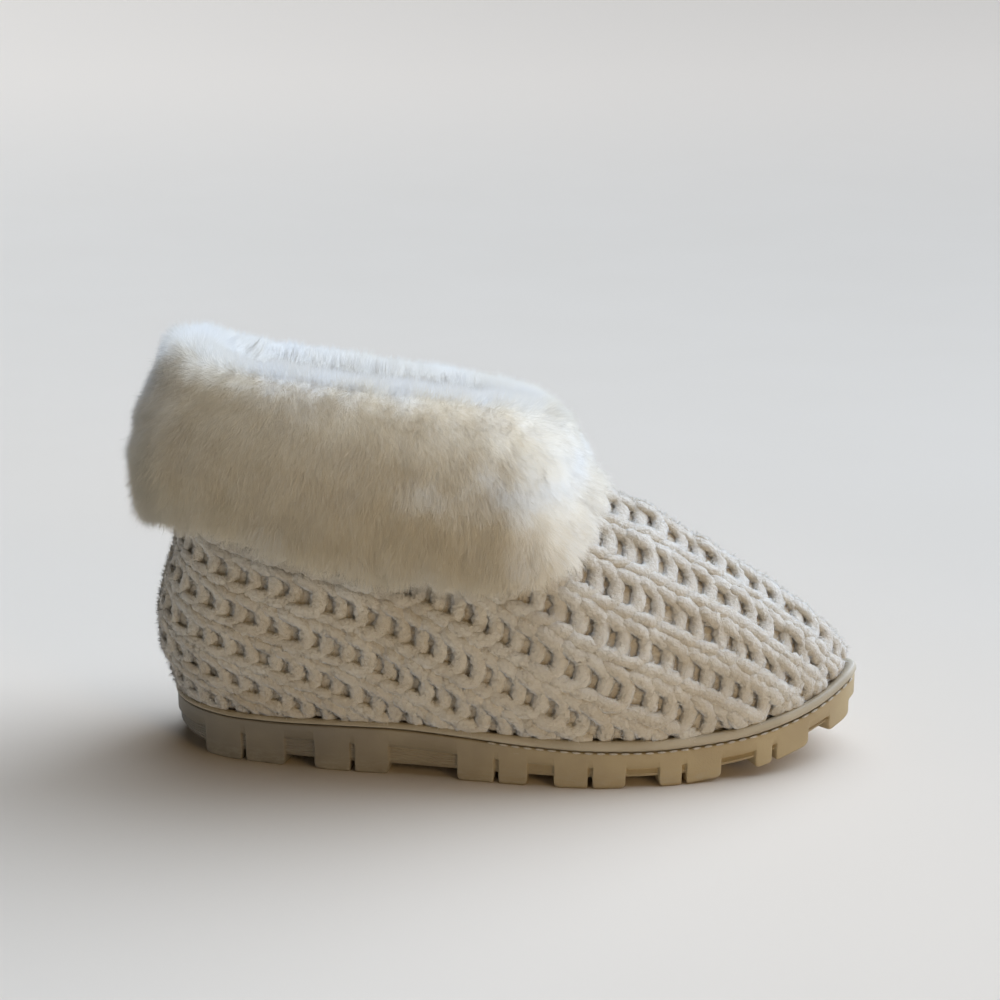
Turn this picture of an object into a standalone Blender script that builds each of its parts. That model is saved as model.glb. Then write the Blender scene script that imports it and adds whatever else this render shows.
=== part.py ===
"""Knit slipper with a deep fur cuff: one right shoe, empty, standing on its sole.

+X runs from heel to toe, +Y to the inner side of the foot, +Z up, and the floor is z = 0.
Tables and sizes are in millimetres, with x measured from the back of the sole. make_object()
turns them into metres and puts the origin on the floor, under the middle of the shoe's box.
"""

import math

import bmesh
import bpy
import numpy as np

MM = 0.001
ORIGIN_X = 125.7
SOLE_LENGTH = 264.0
LATERAL = -1.0
MEDIAL = 1.0
UP = np.array([0.0, 0.0, 1.0])
GAP = 0.35
OUTLINE_SAMPLES = 1600
SHORTEST = 1e-6

# Sole -------------------------------------------------------------------------------------

# Half-widths of the sole on each side of the heel's centre line.
OUTLINE_COLUMNS = ("x", "lateral", "medial")
OUTLINE = [
    (3, 12, 12),
    (10, 22, 21.5),
    (25, 32, 31),
    (45, 37, 35.5),
    (70, 41, 35.5),
    (95, 43, 35),
    (120, 46, 37.5),
    (145, 48.5, 42),
    (165, 49, 46),
    (185, 46, 47.5),
    (205, 40, 46.5),
    (222, 34, 42.5),
    (236, 27, 36.5),
    (248, 19, 28.5),
    (256, 11, 20.5),
    (262, 3, 11),
]
TOE_TIP_Y = 3.0

# Levels along the sole: underside of the lugs, top of the ribbed recesses, top of the wall
# where the welt lies, and height of the welt's bead.
LEVEL_COLUMNS = ("x", "ground", "recess_top", "wall_top", "bead")
LEVELS = [
    (0, 2.3, 10.6, 18.0, 1.7),
    (18, 0.0, 10.6, 16.9, 1.7),
    (45, 0.0, 10.6, 16.4, 1.8),
    (72, 0.0, 10.8, 17.2, 1.9),
    (99, 0.0, 10.6, 17.2, 2.2),
    (118, 0.0, 9.8, 16.2, 2.7),
    (140, 0.0, 8.6, 14.6, 3.3),
    (165, 0.0, 7.8, 13.5, 4.0),
    (198, 0.0, 7.6, 13.4, 4.2),
    (212, 1.6, 8.8, 14.4, 4.0),
    (229, 4.2, 11.0, 16.8, 4.0),
    (245, 8.9, 15.2, 21.2, 3.8),
    (255, 12.2, 18.4, 25.3, 3.6),
    (264, 15.6, 21.6, 30.0, 3.6),
]

# Lugs, as pairs with a slit between them: start, slit, end.
LUG_PAIRS = [
    (18, 34.5, 51),
    (62.5, 77.2, 91),
    (116.5, 131, 142.5),
    (152, 165.2, 178),
    (190, 199, 212.5),
    (225, 232, 245),
]
TOE_LUG = (253, 261.5)
SLIT_WIDTH = 1.6
LUG_HEIGHT = 3.7
LUG_EDGE = 0.2
LUG_CORNER = 1.5
CORNER_BEVEL = 0.3
LUG_LENGTH = 15.0
LUG_LENGTH_AT_ENDS = 7.0
LUG_TAPER = 30.0
CHANNEL = 7.0
BAR_END = 248.0
RECESS_DEPTH = 1.4
RIB_DEPTH = 0.6
RIB_START = 0.5
EDGE_BEVEL = 0.8
HEEL_STATIONS = (0.0, 0.8, 3.0, 7.0, 12.0)
TOE_STATIONS = (263.2, 264.0)
MAX_STATION_STEP = 13.0

# Section of the welt's bead: inset from the sole's outline, and share of the bead's height.
WELT_OUTER = [(0.9, 0.0), (-0.5, 0.42), (0.1, 0.84), (1.9, 1.0)]
WELT_TOP_AT_UPPER = 0.6

# Upper ------------------------------------------------------------------------------------

WALL = 4.0
FEATHER_INSET = 5.0
LEAST_FOOT_INSET = 1.5
WELT_CLEARANCE = 0.7
FOOT_TUCK = 0.3
CREST_STEP = 0.5
RIM_GROWTH = 3.0
RIM_LIFT = 4.0
LINING_GROWTH = 2.0
RIDGE = 2.2
WALE_PITCH = 13.5
# Slope of the wales against the sole, in degrees, from the heel to where they follow the crest.
WALE_SLOPE_COLUMNS = ("x", "degrees")
WALE_SLOPES = [(0, 19), (100, 19), (140, 22.5), (170, 28)]
WALE_TURN_X = 170
CLAMP = 1.6
SECTION_SAMPLES = 40
LINING_POINTS = 7

# Guide lines of the upper, a row for each section. "widest" and "mid" are measured outwards
# from the sole's outline; "top" is the collar's rim as far as the throat, then the crest.
SECTION_COLUMNS = (
    "x", "widest", "widest_z", "mid", "mid_z", "top_x", "top_half", "top_z"
)
SECTIONS = [
    (0, 4.4, 46, -4.2, 82, 8.5, 0, 136),
    (4, 4.4, 46, -4.0, 82, 10.6, 9, 136),
    (10, 4.3, 46, -3.2, 83, 15, 18.5, 135.7),
    (25, 4.0, 46, -1.8, 84, 27, 28.5, 135),
    (45, 3.3, 45, -1.5, 86, 46, 33.5, 133.5),
    (70, 2.6, 44, -2.5, 86, 70, 35.5, 130.5),
    (96, 2.2, 42, -3.6, 84, 96.5, 35.0, 127),
    (110, 2.0, 40, -5.2, 83, 112, 32.5, 124),
    (122, 1.7, 38, -7.4, 82, 125, 26, 121),
    (132, 1.3, 36.5, -9.7, 80.8, 134.5, 18, 118.5),
    (140, 1.0, 35.5, -11.6, 79.6, 140.5, 9.5, 116.5),
    (148, 0.7, 34.5, -13.0, 78.4, 143, 0, 115.5),
    (156, 0.2, 33, -14.4, 76.8, 152, 0, 108.5),
    (168, -0.5, 31, -15.5, 74.2, 166.5, 0, 99.2),
    (185, -1.2, 29, -14.5, 69, 184, 0, 91.8),
    (205, -1.8, 27.5, -13.0, 60.5, 205, 0, 79.0),
    (222, -2.2, 27, -11.5, 53.5, 221.5, 0, 69.2),
    (236, -2.5, 28, -9.6, 47.4, 235, 0, 60.3),
    (248, -2.9, 30, -8.0, 42.8, 245.5, 0, 52.2),
    (256, -3.4, 32.6, -6.6, 39.6, 252.7, 0, 45.6),
    (260, -3.9, 34.2, -5.6, 38.0, 256.8, 0, 41.0),
    (262.5, -4.3, 34.8, -4.9, 36.2, 259.0, 0, 37.6),
    (264, -4.5, 34.6, -4.5, 34.6, 259.5, 0, 34.6),
]
THROAT_X = 148.0
COLLAR_FRONT_X = 96.0
UPPER_STATIONS = (
    0, 1.2, 4, 9, 16, 25, 36, 48, 60, 72, 84, 96, 106, 115, 123, 130, 136, 142, 148, 155, 162,
    170, 179, 188, 197, 206, 214, 222, 230, 237, 243, 249, 254, 258, 261, 262.9, 264,
)

# Cuff -------------------------------------------------------------------------------------

# Half of the ring from the heel's back to the front, a row for each section: lower edge of
# the outer fold, its fullest point, the top of the roll, and the face inside the opening.
CUFF_COLUMNS = (
    "hem_x", "hem_y", "hem_z", "full_x", "full_y", "full_z",
    "top_x", "top_y", "top_z", "inside_x", "inside_y",
)
CUFF = [
    (-6, 0, 92, -11.5, 0, 107, 8.5, 0, 157.5, 23, 0),
    (-1.5, 20, 93.5, -6.5, 22.5, 108, 12, 15, 156.5, 25.5, 9),
    (13, 35.5, 95.5, 9, 40, 109, 22.5, 27, 153, 32, 16.5),
    (32, 45, 94.5, 30.5, 48.5, 107.5, 38, 33, 149.5, 43, 20),
    (60, 50.5, 88.5, 60, 53, 105, 59, 35.5, 147, 58, 22),
    (90, 52, 82.5, 90, 54, 101, 84, 36, 143.5, 80, 22),
    (118, 52, 79.5, 118, 54, 98, 106, 33.5, 141, 99, 19),
    (142, 50.5, 80.5, 142, 51.5, 98, 124, 27.5, 139, 114, 13.5),
    (156, 42.5, 84.5, 155.5, 42.5, 101, 135, 20, 138, 122, 8),
    (164.5, 25, 93, 162, 25, 108, 141, 10.5, 136.5, 126, 4),
    (167, 0, 102.5, 163, 0, 112.5, 143, 0, 136, 127, 0),
]
CUFF_HALF_STATIONS = 32
CUFF_MEDIAL_SCALE = 0.97
SHOULDER_SHARE = 0.64
SHOULDER_OUT = 3.6
SHOULDER_UP = 3.2
ROLL_SHARE = 0.65
ROLL_LIFT = 5.0
ROLL_FRACTIONS = (0.2, 0.42, 0.68, 1.0)
INSIDE_DROP = 13.0
INNER_FOLD = 25.0

# Hidden faces of the folds: outward from the inner fold's foot, and inward from the hem,
# each with a height.
INNER_FOOT = [(0.5, 10.0), (4.0, 0.0), (18.0, 4.0)]
HEM_BACK = [(11.2, 6.0), (7.0, 0.0)]

# Locks of the pile, in rows down the outer fold.
LOCK_ROWS = (0.24, 0.52, 0.8)
LOCK_DROP = 5.0
LOCK_EDGE = 0.9
LOCK_INSET = 0.65
LOCK_RELIEF = 0.95
HEM_DROP = 4.0
HEM_FLARE = 0.6

INSOLE_THICKNESS = 5.0
INSOLE_EDGE = 1.2

COLOURS = {
    "outsole": (0.47, 0.40, 0.29, 1.0),
    "welt": (0.52, 0.45, 0.34, 1.0),
    "upper": (0.80, 0.76, 0.67, 1.0),
    "cuff": (0.90, 0.87, 0.76, 1.0),
    "insole": (0.86, 0.82, 0.72, 1.0),
}
ROUGHNESS = {"outsole": 0.6, "welt": 0.55, "upper": 0.9, "cuff": 0.95, "insole": 0.95}
SMOOTH_ANGLE = math.radians(28.0)


# Curves and tables ------------------------------------------------------------------------


def hermite(knots, values, x):
    """Smooth curve through values at knots, with slopes taken from their neighbours."""
    knots = np.asarray(knots, float)
    values = np.asarray(values, float)
    steps = np.diff(knots)
    secants = np.diff(values, axis=0) / steps.reshape((-1,) + (1,) * (values.ndim - 1))
    slopes = np.empty_like(values)
    slopes[0], slopes[-1] = secants[0], secants[-1]
    for i in range(1, len(knots) - 1):
        before, after = steps[i - 1], steps[i]
        slopes[i] = (secants[i - 1] * after + secants[i] * before) / (before + after)
    x = np.clip(x, knots[0], knots[-1])
    i = int(np.clip(np.searchsorted(knots, x, side="right") - 1, 0, len(knots) - 2))
    t = (x - knots[i]) / steps[i]
    rise = (2 * t**3 - 3 * t**2 + 1) * values[i] + (3 * t**2 - 2 * t**3) * values[i + 1]
    turn = (t**3 - 2 * t**2 + t) * slopes[i] + (t**3 - t**2) * slopes[i + 1]
    return rise + turn * steps[i]


def column_reader(table, columns):
    """Function of x that reads a table's named column smoothly between its rows."""
    rows = np.array(table, float)
    return lambda name, x: float(hermite(rows[:, 0], rows[:, columns.index(name)], x))


level = column_reader(LEVELS, LEVEL_COLUMNS)
guide = column_reader(SECTIONS, SECTION_COLUMNS)
wale_slope = column_reader(WALE_SLOPES, WALE_SLOPE_COLUMNS)


def half_outline(side):
    """Dense points and outward normals of one side of the sole, from heel to toe."""
    index = OUTLINE_COLUMNS.index("lateral" if side == LATERAL else "medial")
    other = OUTLINE_COLUMNS.index("medial" if side == LATERAL else "lateral")
    heel_point = (0.0, 0.0)
    toe_point = (SOLE_LENGTH, TOE_TIP_Y)
    near = [(row[0], side * row[index]) for row in OUTLINE]
    far = [(row[0], -side * row[other]) for row in OUTLINE]
    knots = np.array([far[1], far[0], heel_point, *near, toe_point, far[-1], far[-2]])
    chord = np.concatenate([[0.0], np.cumsum(np.linalg.norm(np.diff(knots, axis=0), axis=1))])
    samples = np.linspace(chord[2], chord[-3], OUTLINE_SAMPLES)
    points = np.array([hermite(chord, knots, s) for s in samples])
    tangents = np.gradient(points, axis=0)
    tangents[0], tangents[-1] = (0.0, side), (0.0, -side)
    normals = np.stack([-tangents[:, 1], tangents[:, 0]], axis=1) * side
    normals /= np.linalg.norm(normals, axis=1)[:, None]
    return points, normals


HALVES = {side: half_outline(side) for side in (LATERAL, MEDIAL)}


def rim(side, x):
    """Point of the sole's outline at x on one side, and its outward direction."""
    points, normals = HALVES[side]
    xs = np.maximum.accumulate(points[:, 0])
    point = np.array([x, np.interp(x, xs, points[:, 1]), 0.0])
    out = np.array([np.interp(x, xs, normals[:, k]) for k in (0, 1)] + [0.0])
    return point, out / np.linalg.norm(out)


# Meshes -----------------------------------------------------------------------------------


class Shape:
    """Collects shared points and faces, then becomes one object."""

    def __init__(self):
        self.points = []
        self.faces = []

    def add(self, point):
        self.points.append(tuple(point))
        return len(self.points) - 1

    def face(self, *corners):
        loop = [c for i, c in enumerate(corners) if c != corners[i - 1]]
        if len(set(loop)) > 2:
            self.faces.append(loop)

    def strip(self, first, second):
        """Faces between two rows of points of the same length."""
        for i in range(len(first) - 1):
            self.face(first[i], first[i + 1], second[i + 1], second[i])


def make_object(name, shape):
    """Object of a closed shape, in metres, with its faces pointing out."""
    mesh = bpy.data.meshes.new(name)
    shift = np.array([ORIGIN_X, 0.0, 0.0])
    mesh.from_pydata([tuple((np.array(p) - shift) * MM) for p in shape.points], [], shape.faces)
    body = bmesh.new()
    body.from_mesh(mesh)
    loose = [v for v in body.verts if not v.link_faces]
    bmesh.ops.delete(body, geom=loose, context="VERTS")
    bmesh.ops.triangulate(body, faces=body.faces)
    bmesh.ops.recalc_face_normals(body, faces=body.faces)
    body.to_mesh(mesh)
    body.free()
    mesh.shade_smooth()
    mesh.set_sharp_from_angle(angle=SMOOTH_ANGLE)
    item = bpy.data.objects.new(name, mesh)
    bpy.context.collection.objects.link(item)
    return item


def give_material(item):
    material = bpy.data.materials.new(item.name)
    material.use_nodes = True
    surface = material.node_tree.nodes["Principled BSDF"]
    surface.inputs["Base Color"].default_value = COLOURS[item.name]
    surface.inputs["Roughness"].default_value = ROUGHNESS[item.name]
    surface.inputs["Metallic"].default_value = 0.0
    item.data.materials.append(material)


def ring_of_columns(xs, column):
    """Columns of points around the sole: heel, lateral side, toe, then the medial side back.

    column(side, x) gives the points of one section. Heel and toe sections are shared.
    """
    lateral = [column(LATERAL, x) for x in xs]
    medial = [column(MEDIAL, x) for x in xs[1:-1]]
    return lateral + medial[::-1]


# Outsole ----------------------------------------------------------------------------------


def sole_stations():
    """Sections of the sole as (x, kind, lug share), kind 0 in a recess and 1 on a lug."""
    stations = [(x, 0, 0.0) for x in HEEL_STATIONS]
    lugs = []
    for start, slit, end in LUG_PAIRS:
        lugs.append((start, slit - SLIT_WIDTH / 2, False, True))
        lugs.append((slit + SLIT_WIDTH / 2, end, True, False))
    lugs.append((*TOE_LUG, False, False))
    for start, end, slit_before, slit_after in lugs:
        if slit_before:
            stations.append((start - SLIT_WIDTH / 2, 0, 0.0))
        else:
            stations.append((start - LUG_EDGE, 0, 0.0))
        stations.append((start + LUG_EDGE, 1, 1.0))
        stations.append((start + LUG_CORNER, 1, 0.0))
        stations.append((end - LUG_CORNER, 1, 0.0))
        stations.append((end - LUG_EDGE, 1, 1.0))
        if not slit_after:
            stations.append((end + LUG_EDGE, 0, 0.0))
    stations += [(x, 0, 0.0) for x in TOE_STATIONS]
    filled = [stations[0]]
    for station in stations[1:]:
        x, kind, _ = filled[-1]
        if station[0] - x > MAX_STATION_STEP and kind == station[1]:
            filled.append(((x + station[0]) / 2, kind, 0.0))
        filled.append(station)
    return filled


def lug_length(x):
    """Length of a lug across the sole, shorter at the round heel and toe."""
    from_end = min(x, SOLE_LENGTH - x)
    share = min(1.0, from_end / LUG_TAPER)
    return LUG_LENGTH_AT_ENDS + (LUG_LENGTH - LUG_LENGTH_AT_ENDS) * share


def sole_section(side, x, on_lug, corner):
    """Half-section of the sole from the wall's top down to the middle of the tread."""
    point, out = rim(side, x)
    ground = max(level("ground", x), 0.0)
    recess_top, wall_top = level("recess_top", x), level("wall_top", x)
    base = ground + LUG_HEIGHT
    foot = ground + corner if on_lug else base
    recess = 0.0 if on_lug else RECESS_DEPTH
    rib = 0.0 if on_lug else RIB_DEPTH
    bevel = EDGE_BEVEL + CORNER_BEVEL * corner
    lower = foot + bevel
    length = lug_length(x)
    bar = length + CHANNEL
    profile = [(0.0, wall_top), (0.0, recess_top)]
    steps = (0.0, rib, 0.0, rib, 0.0)
    for step, z in zip(steps, np.linspace(recess_top - RIB_START, lower, len(steps))):
        profile.append((recess - step, z))
    profile += [(recess + bevel, foot), (length, foot), (length + EDGE_BEVEL, base)]
    profile += [(bar - EDGE_BEVEL, base), (bar, foot if x < BAR_END else base)]
    return [point - out * inset + UP * z for inset, z in profile]


def build_outsole():
    stations = sole_stations()
    shape = Shape()
    by_x = {x: (kind, corner) for x, kind, corner in stations}
    xs = [x for x, _, _ in stations]

    def column(side, x):
        kind, corner = by_x[x]
        return [shape.add(p) for p in sole_section(side, x, kind, corner)]

    columns = ring_of_columns(xs, column)
    for i, current in enumerate(columns):
        shape.strip(current, columns[i - 1])
    count = len(xs)
    lateral = columns[:count]
    medial = [columns[0]] + columns[count:][::-1] + [columns[count - 1]]
    for row in (0, -1):
        shape.strip([c[row] for c in lateral], [c[row] for c in medial])
    return make_object("outsole", shape)


# Welt and insole --------------------------------------------------------------------------


def build_welt():
    """Rounded bead lying on the wall's top, around the foot of the upper."""
    shape = Shape()

    def column(side, x):
        point, out = rim(side, x)
        bottom = level("wall_top", x) + GAP
        height = level("bead", x)
        inner = FEATHER_INSET - GAP
        bead = [*WELT_OUTER, (inner, WELT_TOP_AT_UPPER), (inner, 0.0)]
        return [shape.add(point - out * inset + UP * (bottom + height * up)) for inset, up in bead]

    columns = ring_of_columns(UPPER_STATIONS, column)
    for i, current in enumerate(columns):
        previous = columns[i - 1]
        shape.strip(current + current[:1], previous + previous[:1])
    return make_object("welt", shape)


def build_insole():
    """Footbed on the sole's top, inside the foot of the upper."""
    shape = Shape()
    inset = FEATHER_INSET + WALL + GAP

    def column(side, x):
        point, out = rim(side, x)
        bottom = level("wall_top", x) + GAP
        edge = [(0.0, 0.0), (0.0, INSOLE_THICKNESS - INSOLE_EDGE), (INSOLE_EDGE, INSOLE_THICKNESS)]
        return [shape.add(point - out * (inset + i) + UP * (bottom + z)) for i, z in edge]

    xs = UPPER_STATIONS
    columns = ring_of_columns(xs, column)
    for i, current in enumerate(columns):
        shape.strip(current, columns[i - 1])
    count = len(xs)
    lateral = columns[:count]
    medial = [columns[0]] + columns[count:][::-1] + [columns[count - 1]]
    for row in (0, -1):
        shape.strip([c[row] for c in lateral], [c[row] for c in medial])
    return make_object("insole", shape)


# Upper ------------------------------------------------------------------------------------


def closing(x):
    """0 where the collar is open above a section, 1 where the section meets the crest."""
    share = np.clip((x - COLLAR_FRONT_X) / (THROAT_X - COLLAR_FRONT_X), 0.0, 1.0)
    return share * share * (3 - 2 * share)


def crest_directions(x):
    """Directions back along the crest and square to it, in the middle plane."""
    run = guide("top_x", x + CREST_STEP) - guide("top_x", x - CREST_STEP)
    fall = guide("top_z", x + CREST_STEP) - guide("top_z", x - CREST_STEP)
    length = math.hypot(run, fall)
    back = np.array([-run / length, 0.0, -fall / length])
    return back, np.array([back[2], 0.0, -back[0]])


def upper_section(side, x, inset):
    """Dense points of one half-section of the upper's wall, from the welt to rim or crest."""
    point, out = rim(side, x)
    closed = closing(x)
    over_bead = level("wall_top", x) + GAP + level("bead", x) + WELT_CLEARANCE
    widest, mid = guide("widest", x), guide("mid", x)
    foot_inset = min(max(-widest, LEAST_FOOT_INSET), FEATHER_INSET)
    foot = point - out * (foot_inset + inset) + UP * over_bead
    side_point = point + out * (widest - inset) + UP * max(guide("widest_z", x), over_bead)
    lean = out + UP * closed
    shoulder = point + out * mid + UP * guide("mid_z", x) - lean / np.linalg.norm(lean) * inset
    half = max(guide("top_half", x), 0.0) if x < THROAT_X else 0.0
    middle = TOE_TIP_Y * (x / SOLE_LENGTH) ** 3
    top_out = out * (1 - closed) + crest_directions(x)[1] * closed
    top = np.array([guide("top_x", x), middle + side * half, guide("top_z", x)])
    top = top - top_out / np.linalg.norm(top_out) * inset
    if half == 0.0:
        top[1] = middle
    if x == SOLE_LENGTH:
        top = side_point = shoulder = foot
    points = np.array([foot, side_point, shoulder, top])
    inward = np.array([0.0, -side, 0.0])
    ends = np.linalg.norm(top - shoulder)
    extra = top + (top - shoulder) * (1 - closed) + inward * ends * closed
    knots = [0.0]
    for a, b in zip(points, [*points[1:], extra]):
        knots.append(knots[-1] + max(np.linalg.norm(b - a), SHORTEST))
    values = np.array([*points, extra])
    return np.array([hermite(knots, values, s) for s in np.linspace(0, knots[3], SECTION_SAMPLES)])


def arc_lengths(line):
    return np.concatenate([[0.0], np.cumsum(np.linalg.norm(np.diff(line, axis=0), axis=1))])


def read_line(line, arcs, s):
    return np.array([np.interp(s, arcs, line[:, k]) for k in range(3)])


def surface_normals(lines):
    """Outward normals of a ring of sections."""
    ring = np.array(lines)
    around = np.roll(ring, -1, axis=0) - np.roll(ring, 1, axis=0)
    along = np.gradient(ring, axis=1)
    normals = np.cross(around, along)
    size = np.linalg.norm(normals, axis=2, keepdims=True)
    return normals / np.maximum(size, SHORTEST)


def wale_starts(lines, xs):
    """Distance of each section's foot from the crest, measured across the knitted wales.

    In front of the turn it is the section's own length. Behind it the distance grows along
    the sole by the wales' slope, up to one value that both sides share at the heel.
    """
    count = len(xs)
    turn = xs.index(WALE_TURN_X)
    starts = [arc_lengths(line)[-1] for line in lines]
    halves = [list(range(count)), [0] + list(range(len(lines) - 1, count - 2, -1))]
    growth = []
    for half in halves:
        feet = np.array([lines[i][0] for i in half])
        grown = [0.0]
        for j in range(turn, 0, -1):
            rise = math.tan(math.radians(wale_slope("degrees", (xs[j] + xs[j - 1]) / 2)))
            grown.append(grown[-1] + rise * np.linalg.norm(feet[j] - feet[j - 1]))
        growth.append(grown[::-1])
    at_back = np.mean([starts[half[turn]] + grown[0] for half, grown in zip(halves, growth)])
    for half, grown in zip(halves, growth):
        at_turn = starts[half[turn]]
        for j in range(turn):
            starts[half[j]] = at_turn + grown[j] / grown[0] * (at_back - at_turn)
    return starts


def build_upper(name, grow=0.0, furrows=True):
    """Hollow knitted wall, open at the collar and underneath, with its wales as ridges.

    grow thickens the wall on both faces and at the rim. Without furrows the surface runs
    straight from one wale's ridge to the next.
    """
    shape = Shape()
    xs = list(UPPER_STATIONS)
    lines = ring_of_columns(xs, lambda side, x: upper_section(side, x, 0.0))

    def lining_line(side, x):
        return upper_section(side, x, WALL + grow * (1 + LINING_GROWTH * closing(x)))

    inner_lines = ring_of_columns(xs, lining_line)
    ring_x = xs + xs[1:-1][::-1]
    sides = [LATERAL] * len(xs) + [MEDIAL] * (len(xs) - 2)
    normals = surface_normals(lines)
    starts = wale_starts(lines, xs)
    wale_lines = int(max(starts) / WALE_PITCH * 2) + 1
    crest_out, crest_in = {}, {}
    outside, inside = [], []
    for i, (x, side) in enumerate(zip(ring_x, sides)):
        line, arcs = lines[i], arc_lengths(lines[i])
        point, out = rim(side, x)
        bottom = level("wall_top", x) + GAP - grow
        over_bead = bottom + level("bead", x) + WELT_CLEARANCE - FOOT_TUCK
        raised = 1.0 if WALE_TURN_X <= x < SOLE_LENGTH else 0.0
        lift = np.zeros(3)
        if x <= THROAT_X:
            lift = UP * (1 - closing(x)) + crest_directions(x)[0] * closing(x)
            lift *= grow * RIM_LIFT
        if x >= THROAT_X and x in crest_out:
            top = crest_out[x]
        else:
            off = raised * RIDGE + grow * RIM_GROWTH
            top = shape.add(line[-1] + normals[i][-1] * off + lift)
            crest_out[x] = top
        foot = top if x == SOLE_LENGTH else shape.add(line[0])
        column = [shape.add(point - out * FEATHER_INSET + UP * bottom)]
        column += [shape.add(point - out * FEATHER_INSET + UP * over_bead), foot]
        for k in range(wale_lines - wale_lines % 2, -1, -1 if furrows else -2):
            height = starts[i] - k * WALE_PITCH / 2
            if height < CLAMP:
                column.append(foot)
            elif height > arcs[-1] - CLAMP:
                column.append(top)
            else:
                off = grow + (0.0 if k % 2 else RIDGE)
                across = read_line(normals[i], arcs, height)
                column.append(shape.add(read_line(line, arcs, height) + across * off))
        column.append(top)
        outside.append(column)
        inner = inner_lines[i]
        picks = np.linspace(0, len(inner) - 1, LINING_POINTS).astype(int)
        lining = [shape.add(point - out * (FEATHER_INSET + WALL) + UP * bottom)]
        lining += [shape.add(inner[j]) for j in picks[:-1]]
        if x >= THROAT_X and x in crest_in:
            lining.append(crest_in[x])
        else:
            crest_in[x] = shape.add(inner[-1] + lift)
            lining.append(crest_in[x])
        if x == SOLE_LENGTH:
            lining = [lining[0]] + [lining[-1]] * (len(lining) - 1)
        inside.append(lining)
    for i, current in enumerate(outside):
        shape.strip(current, outside[i - 1])
        shape.strip(inside[i - 1], inside[i])
        shape.face(current[0], outside[i - 1][0], inside[i - 1][0], inside[i][0])
        if min(ring_x[i], ring_x[i - 1]) < THROAT_X:
            shape.face(current[-1], inside[i][-1], inside[i - 1][-1], outside[i - 1][-1])
    return make_object(name, shape)


# Cuff -------------------------------------------------------------------------------------


def cuff_row(share, side):
    """Named sizes of the cuff's section at a share of the way from heel to front."""
    rows = np.array(CUFF, float)
    mirrored = [-1.0 if name.endswith("_y") else 1.0 for name in CUFF_COLUMNS]
    padded = np.vstack([rows[1] * mirrored, rows, rows[-2] * mirrored])
    values = hermite(np.arange(-1, len(rows) + 1), padded, share * (len(rows) - 1))
    sizes = dict(zip(CUFF_COLUMNS, values))
    scale = side * (1.0 if side == LATERAL else CUFF_MEDIAL_SCALE)
    for name in CUFF_COLUMNS:
        if name.endswith("_y"):
            sizes[name] *= scale
    return sizes


def cuff_section(share, side, tip):
    """Closed section of the cuff. tip is 1 on a lock's point and 0 between two locks."""
    size = cuff_row(share, side)
    hem, full, top = (
        np.array([size[f"{part}_x"], size[f"{part}_y"], size[f"{part}_z"]])
        for part in ("hem", "full", "top")
    )
    inside = np.array([size["inside_x"], size["inside_y"], size["top_z"] - INSIDE_DROP])
    outward = (full - inside) * (1, 1, 0)
    outward /= np.linalg.norm(outward)
    shoulder = full + (top - full) * SHOULDER_SHARE + outward * SHOULDER_OUT + UP * SHOULDER_UP
    roll = top + (inside - top) * ROLL_SHARE + UP * ROLL_LIFT
    guides = np.array([hem, full, shoulder, top, roll, inside])
    lengths = arc_lengths(guides)
    over = lengths[3]
    points = [hem + UP * HEM_DROP * (0.5 - tip) + outward * HEM_FLARE]
    for row, fraction in enumerate(LOCK_ROWS):
        here = tip if row % 2 else 1 - tip
        edge = fraction * over + LOCK_DROP * (0.5 - here)
        points.append(hermite(lengths, guides, edge - LOCK_EDGE) - outward * LOCK_INSET)
        lift = LOCK_INSET + LOCK_RELIEF * here
        points.append(hermite(lengths, guides, edge + LOCK_EDGE) + outward * lift)
    for fraction in ROLL_FRACTIONS:
        points.append(hermite(lengths, guides, over + (lengths[-1] - over) * fraction))
    inner_foot = inside - UP * INNER_FOLD
    points += [inner_foot + outward * out + UP * z for out, z in INNER_FOOT]
    points += [hem - outward * inset + UP * z for inset, z in HEM_BACK]
    return points


def build_cuff(clearance):
    """Fur cuff folded over the collar: a full ring, cut back to clear the knitted wall."""
    shape = Shape()
    shares = [i / CUFF_HALF_STATIONS for i in range(CUFF_HALF_STATIONS + 1)]
    sections = [cuff_section(s, LATERAL, i % 2) for i, s in enumerate(shares)]
    sections += [
        cuff_section(shares[i], MEDIAL, i % 2) for i in range(CUFF_HALF_STATIONS - 1, 0, -1)
    ]
    columns = [[shape.add(p) for p in section] for section in sections]
    for i, current in enumerate(columns):
        previous = columns[i - 1]
        shape.strip(current + current[:1], previous + previous[:1])
    cuff = make_object("cuff", shape)
    cut = cuff.modifiers.new("clear_of_upper", "BOOLEAN")
    cut.operation = "DIFFERENCE"
    cut.solver = "EXACT"
    cut.object = clearance
    return cuff


def main():
    for item in list(bpy.data.objects):
        bpy.data.objects.remove(item, do_unlink=True)
    clearance = build_upper("upper_clearance", grow=GAP, furrows=False)
    clearance.hide_render = True
    clearance.display_type = "WIRE"
    parts = [
        build_outsole(),
        build_welt(),
        build_insole(),
        build_upper("upper"),
        build_cuff(clearance),
    ]
    for item in parts:
        give_material(item)


main()
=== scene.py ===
"""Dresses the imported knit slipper: yarn, fur, lining, welt and sole, with floor, light and camera.

Tables and sizes are the shoe's own, in millimetres, with x measured from the back of the sole.
metres() turns them into the frame's metres, and the sole's box says where its back lies.
"""

import math

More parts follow.
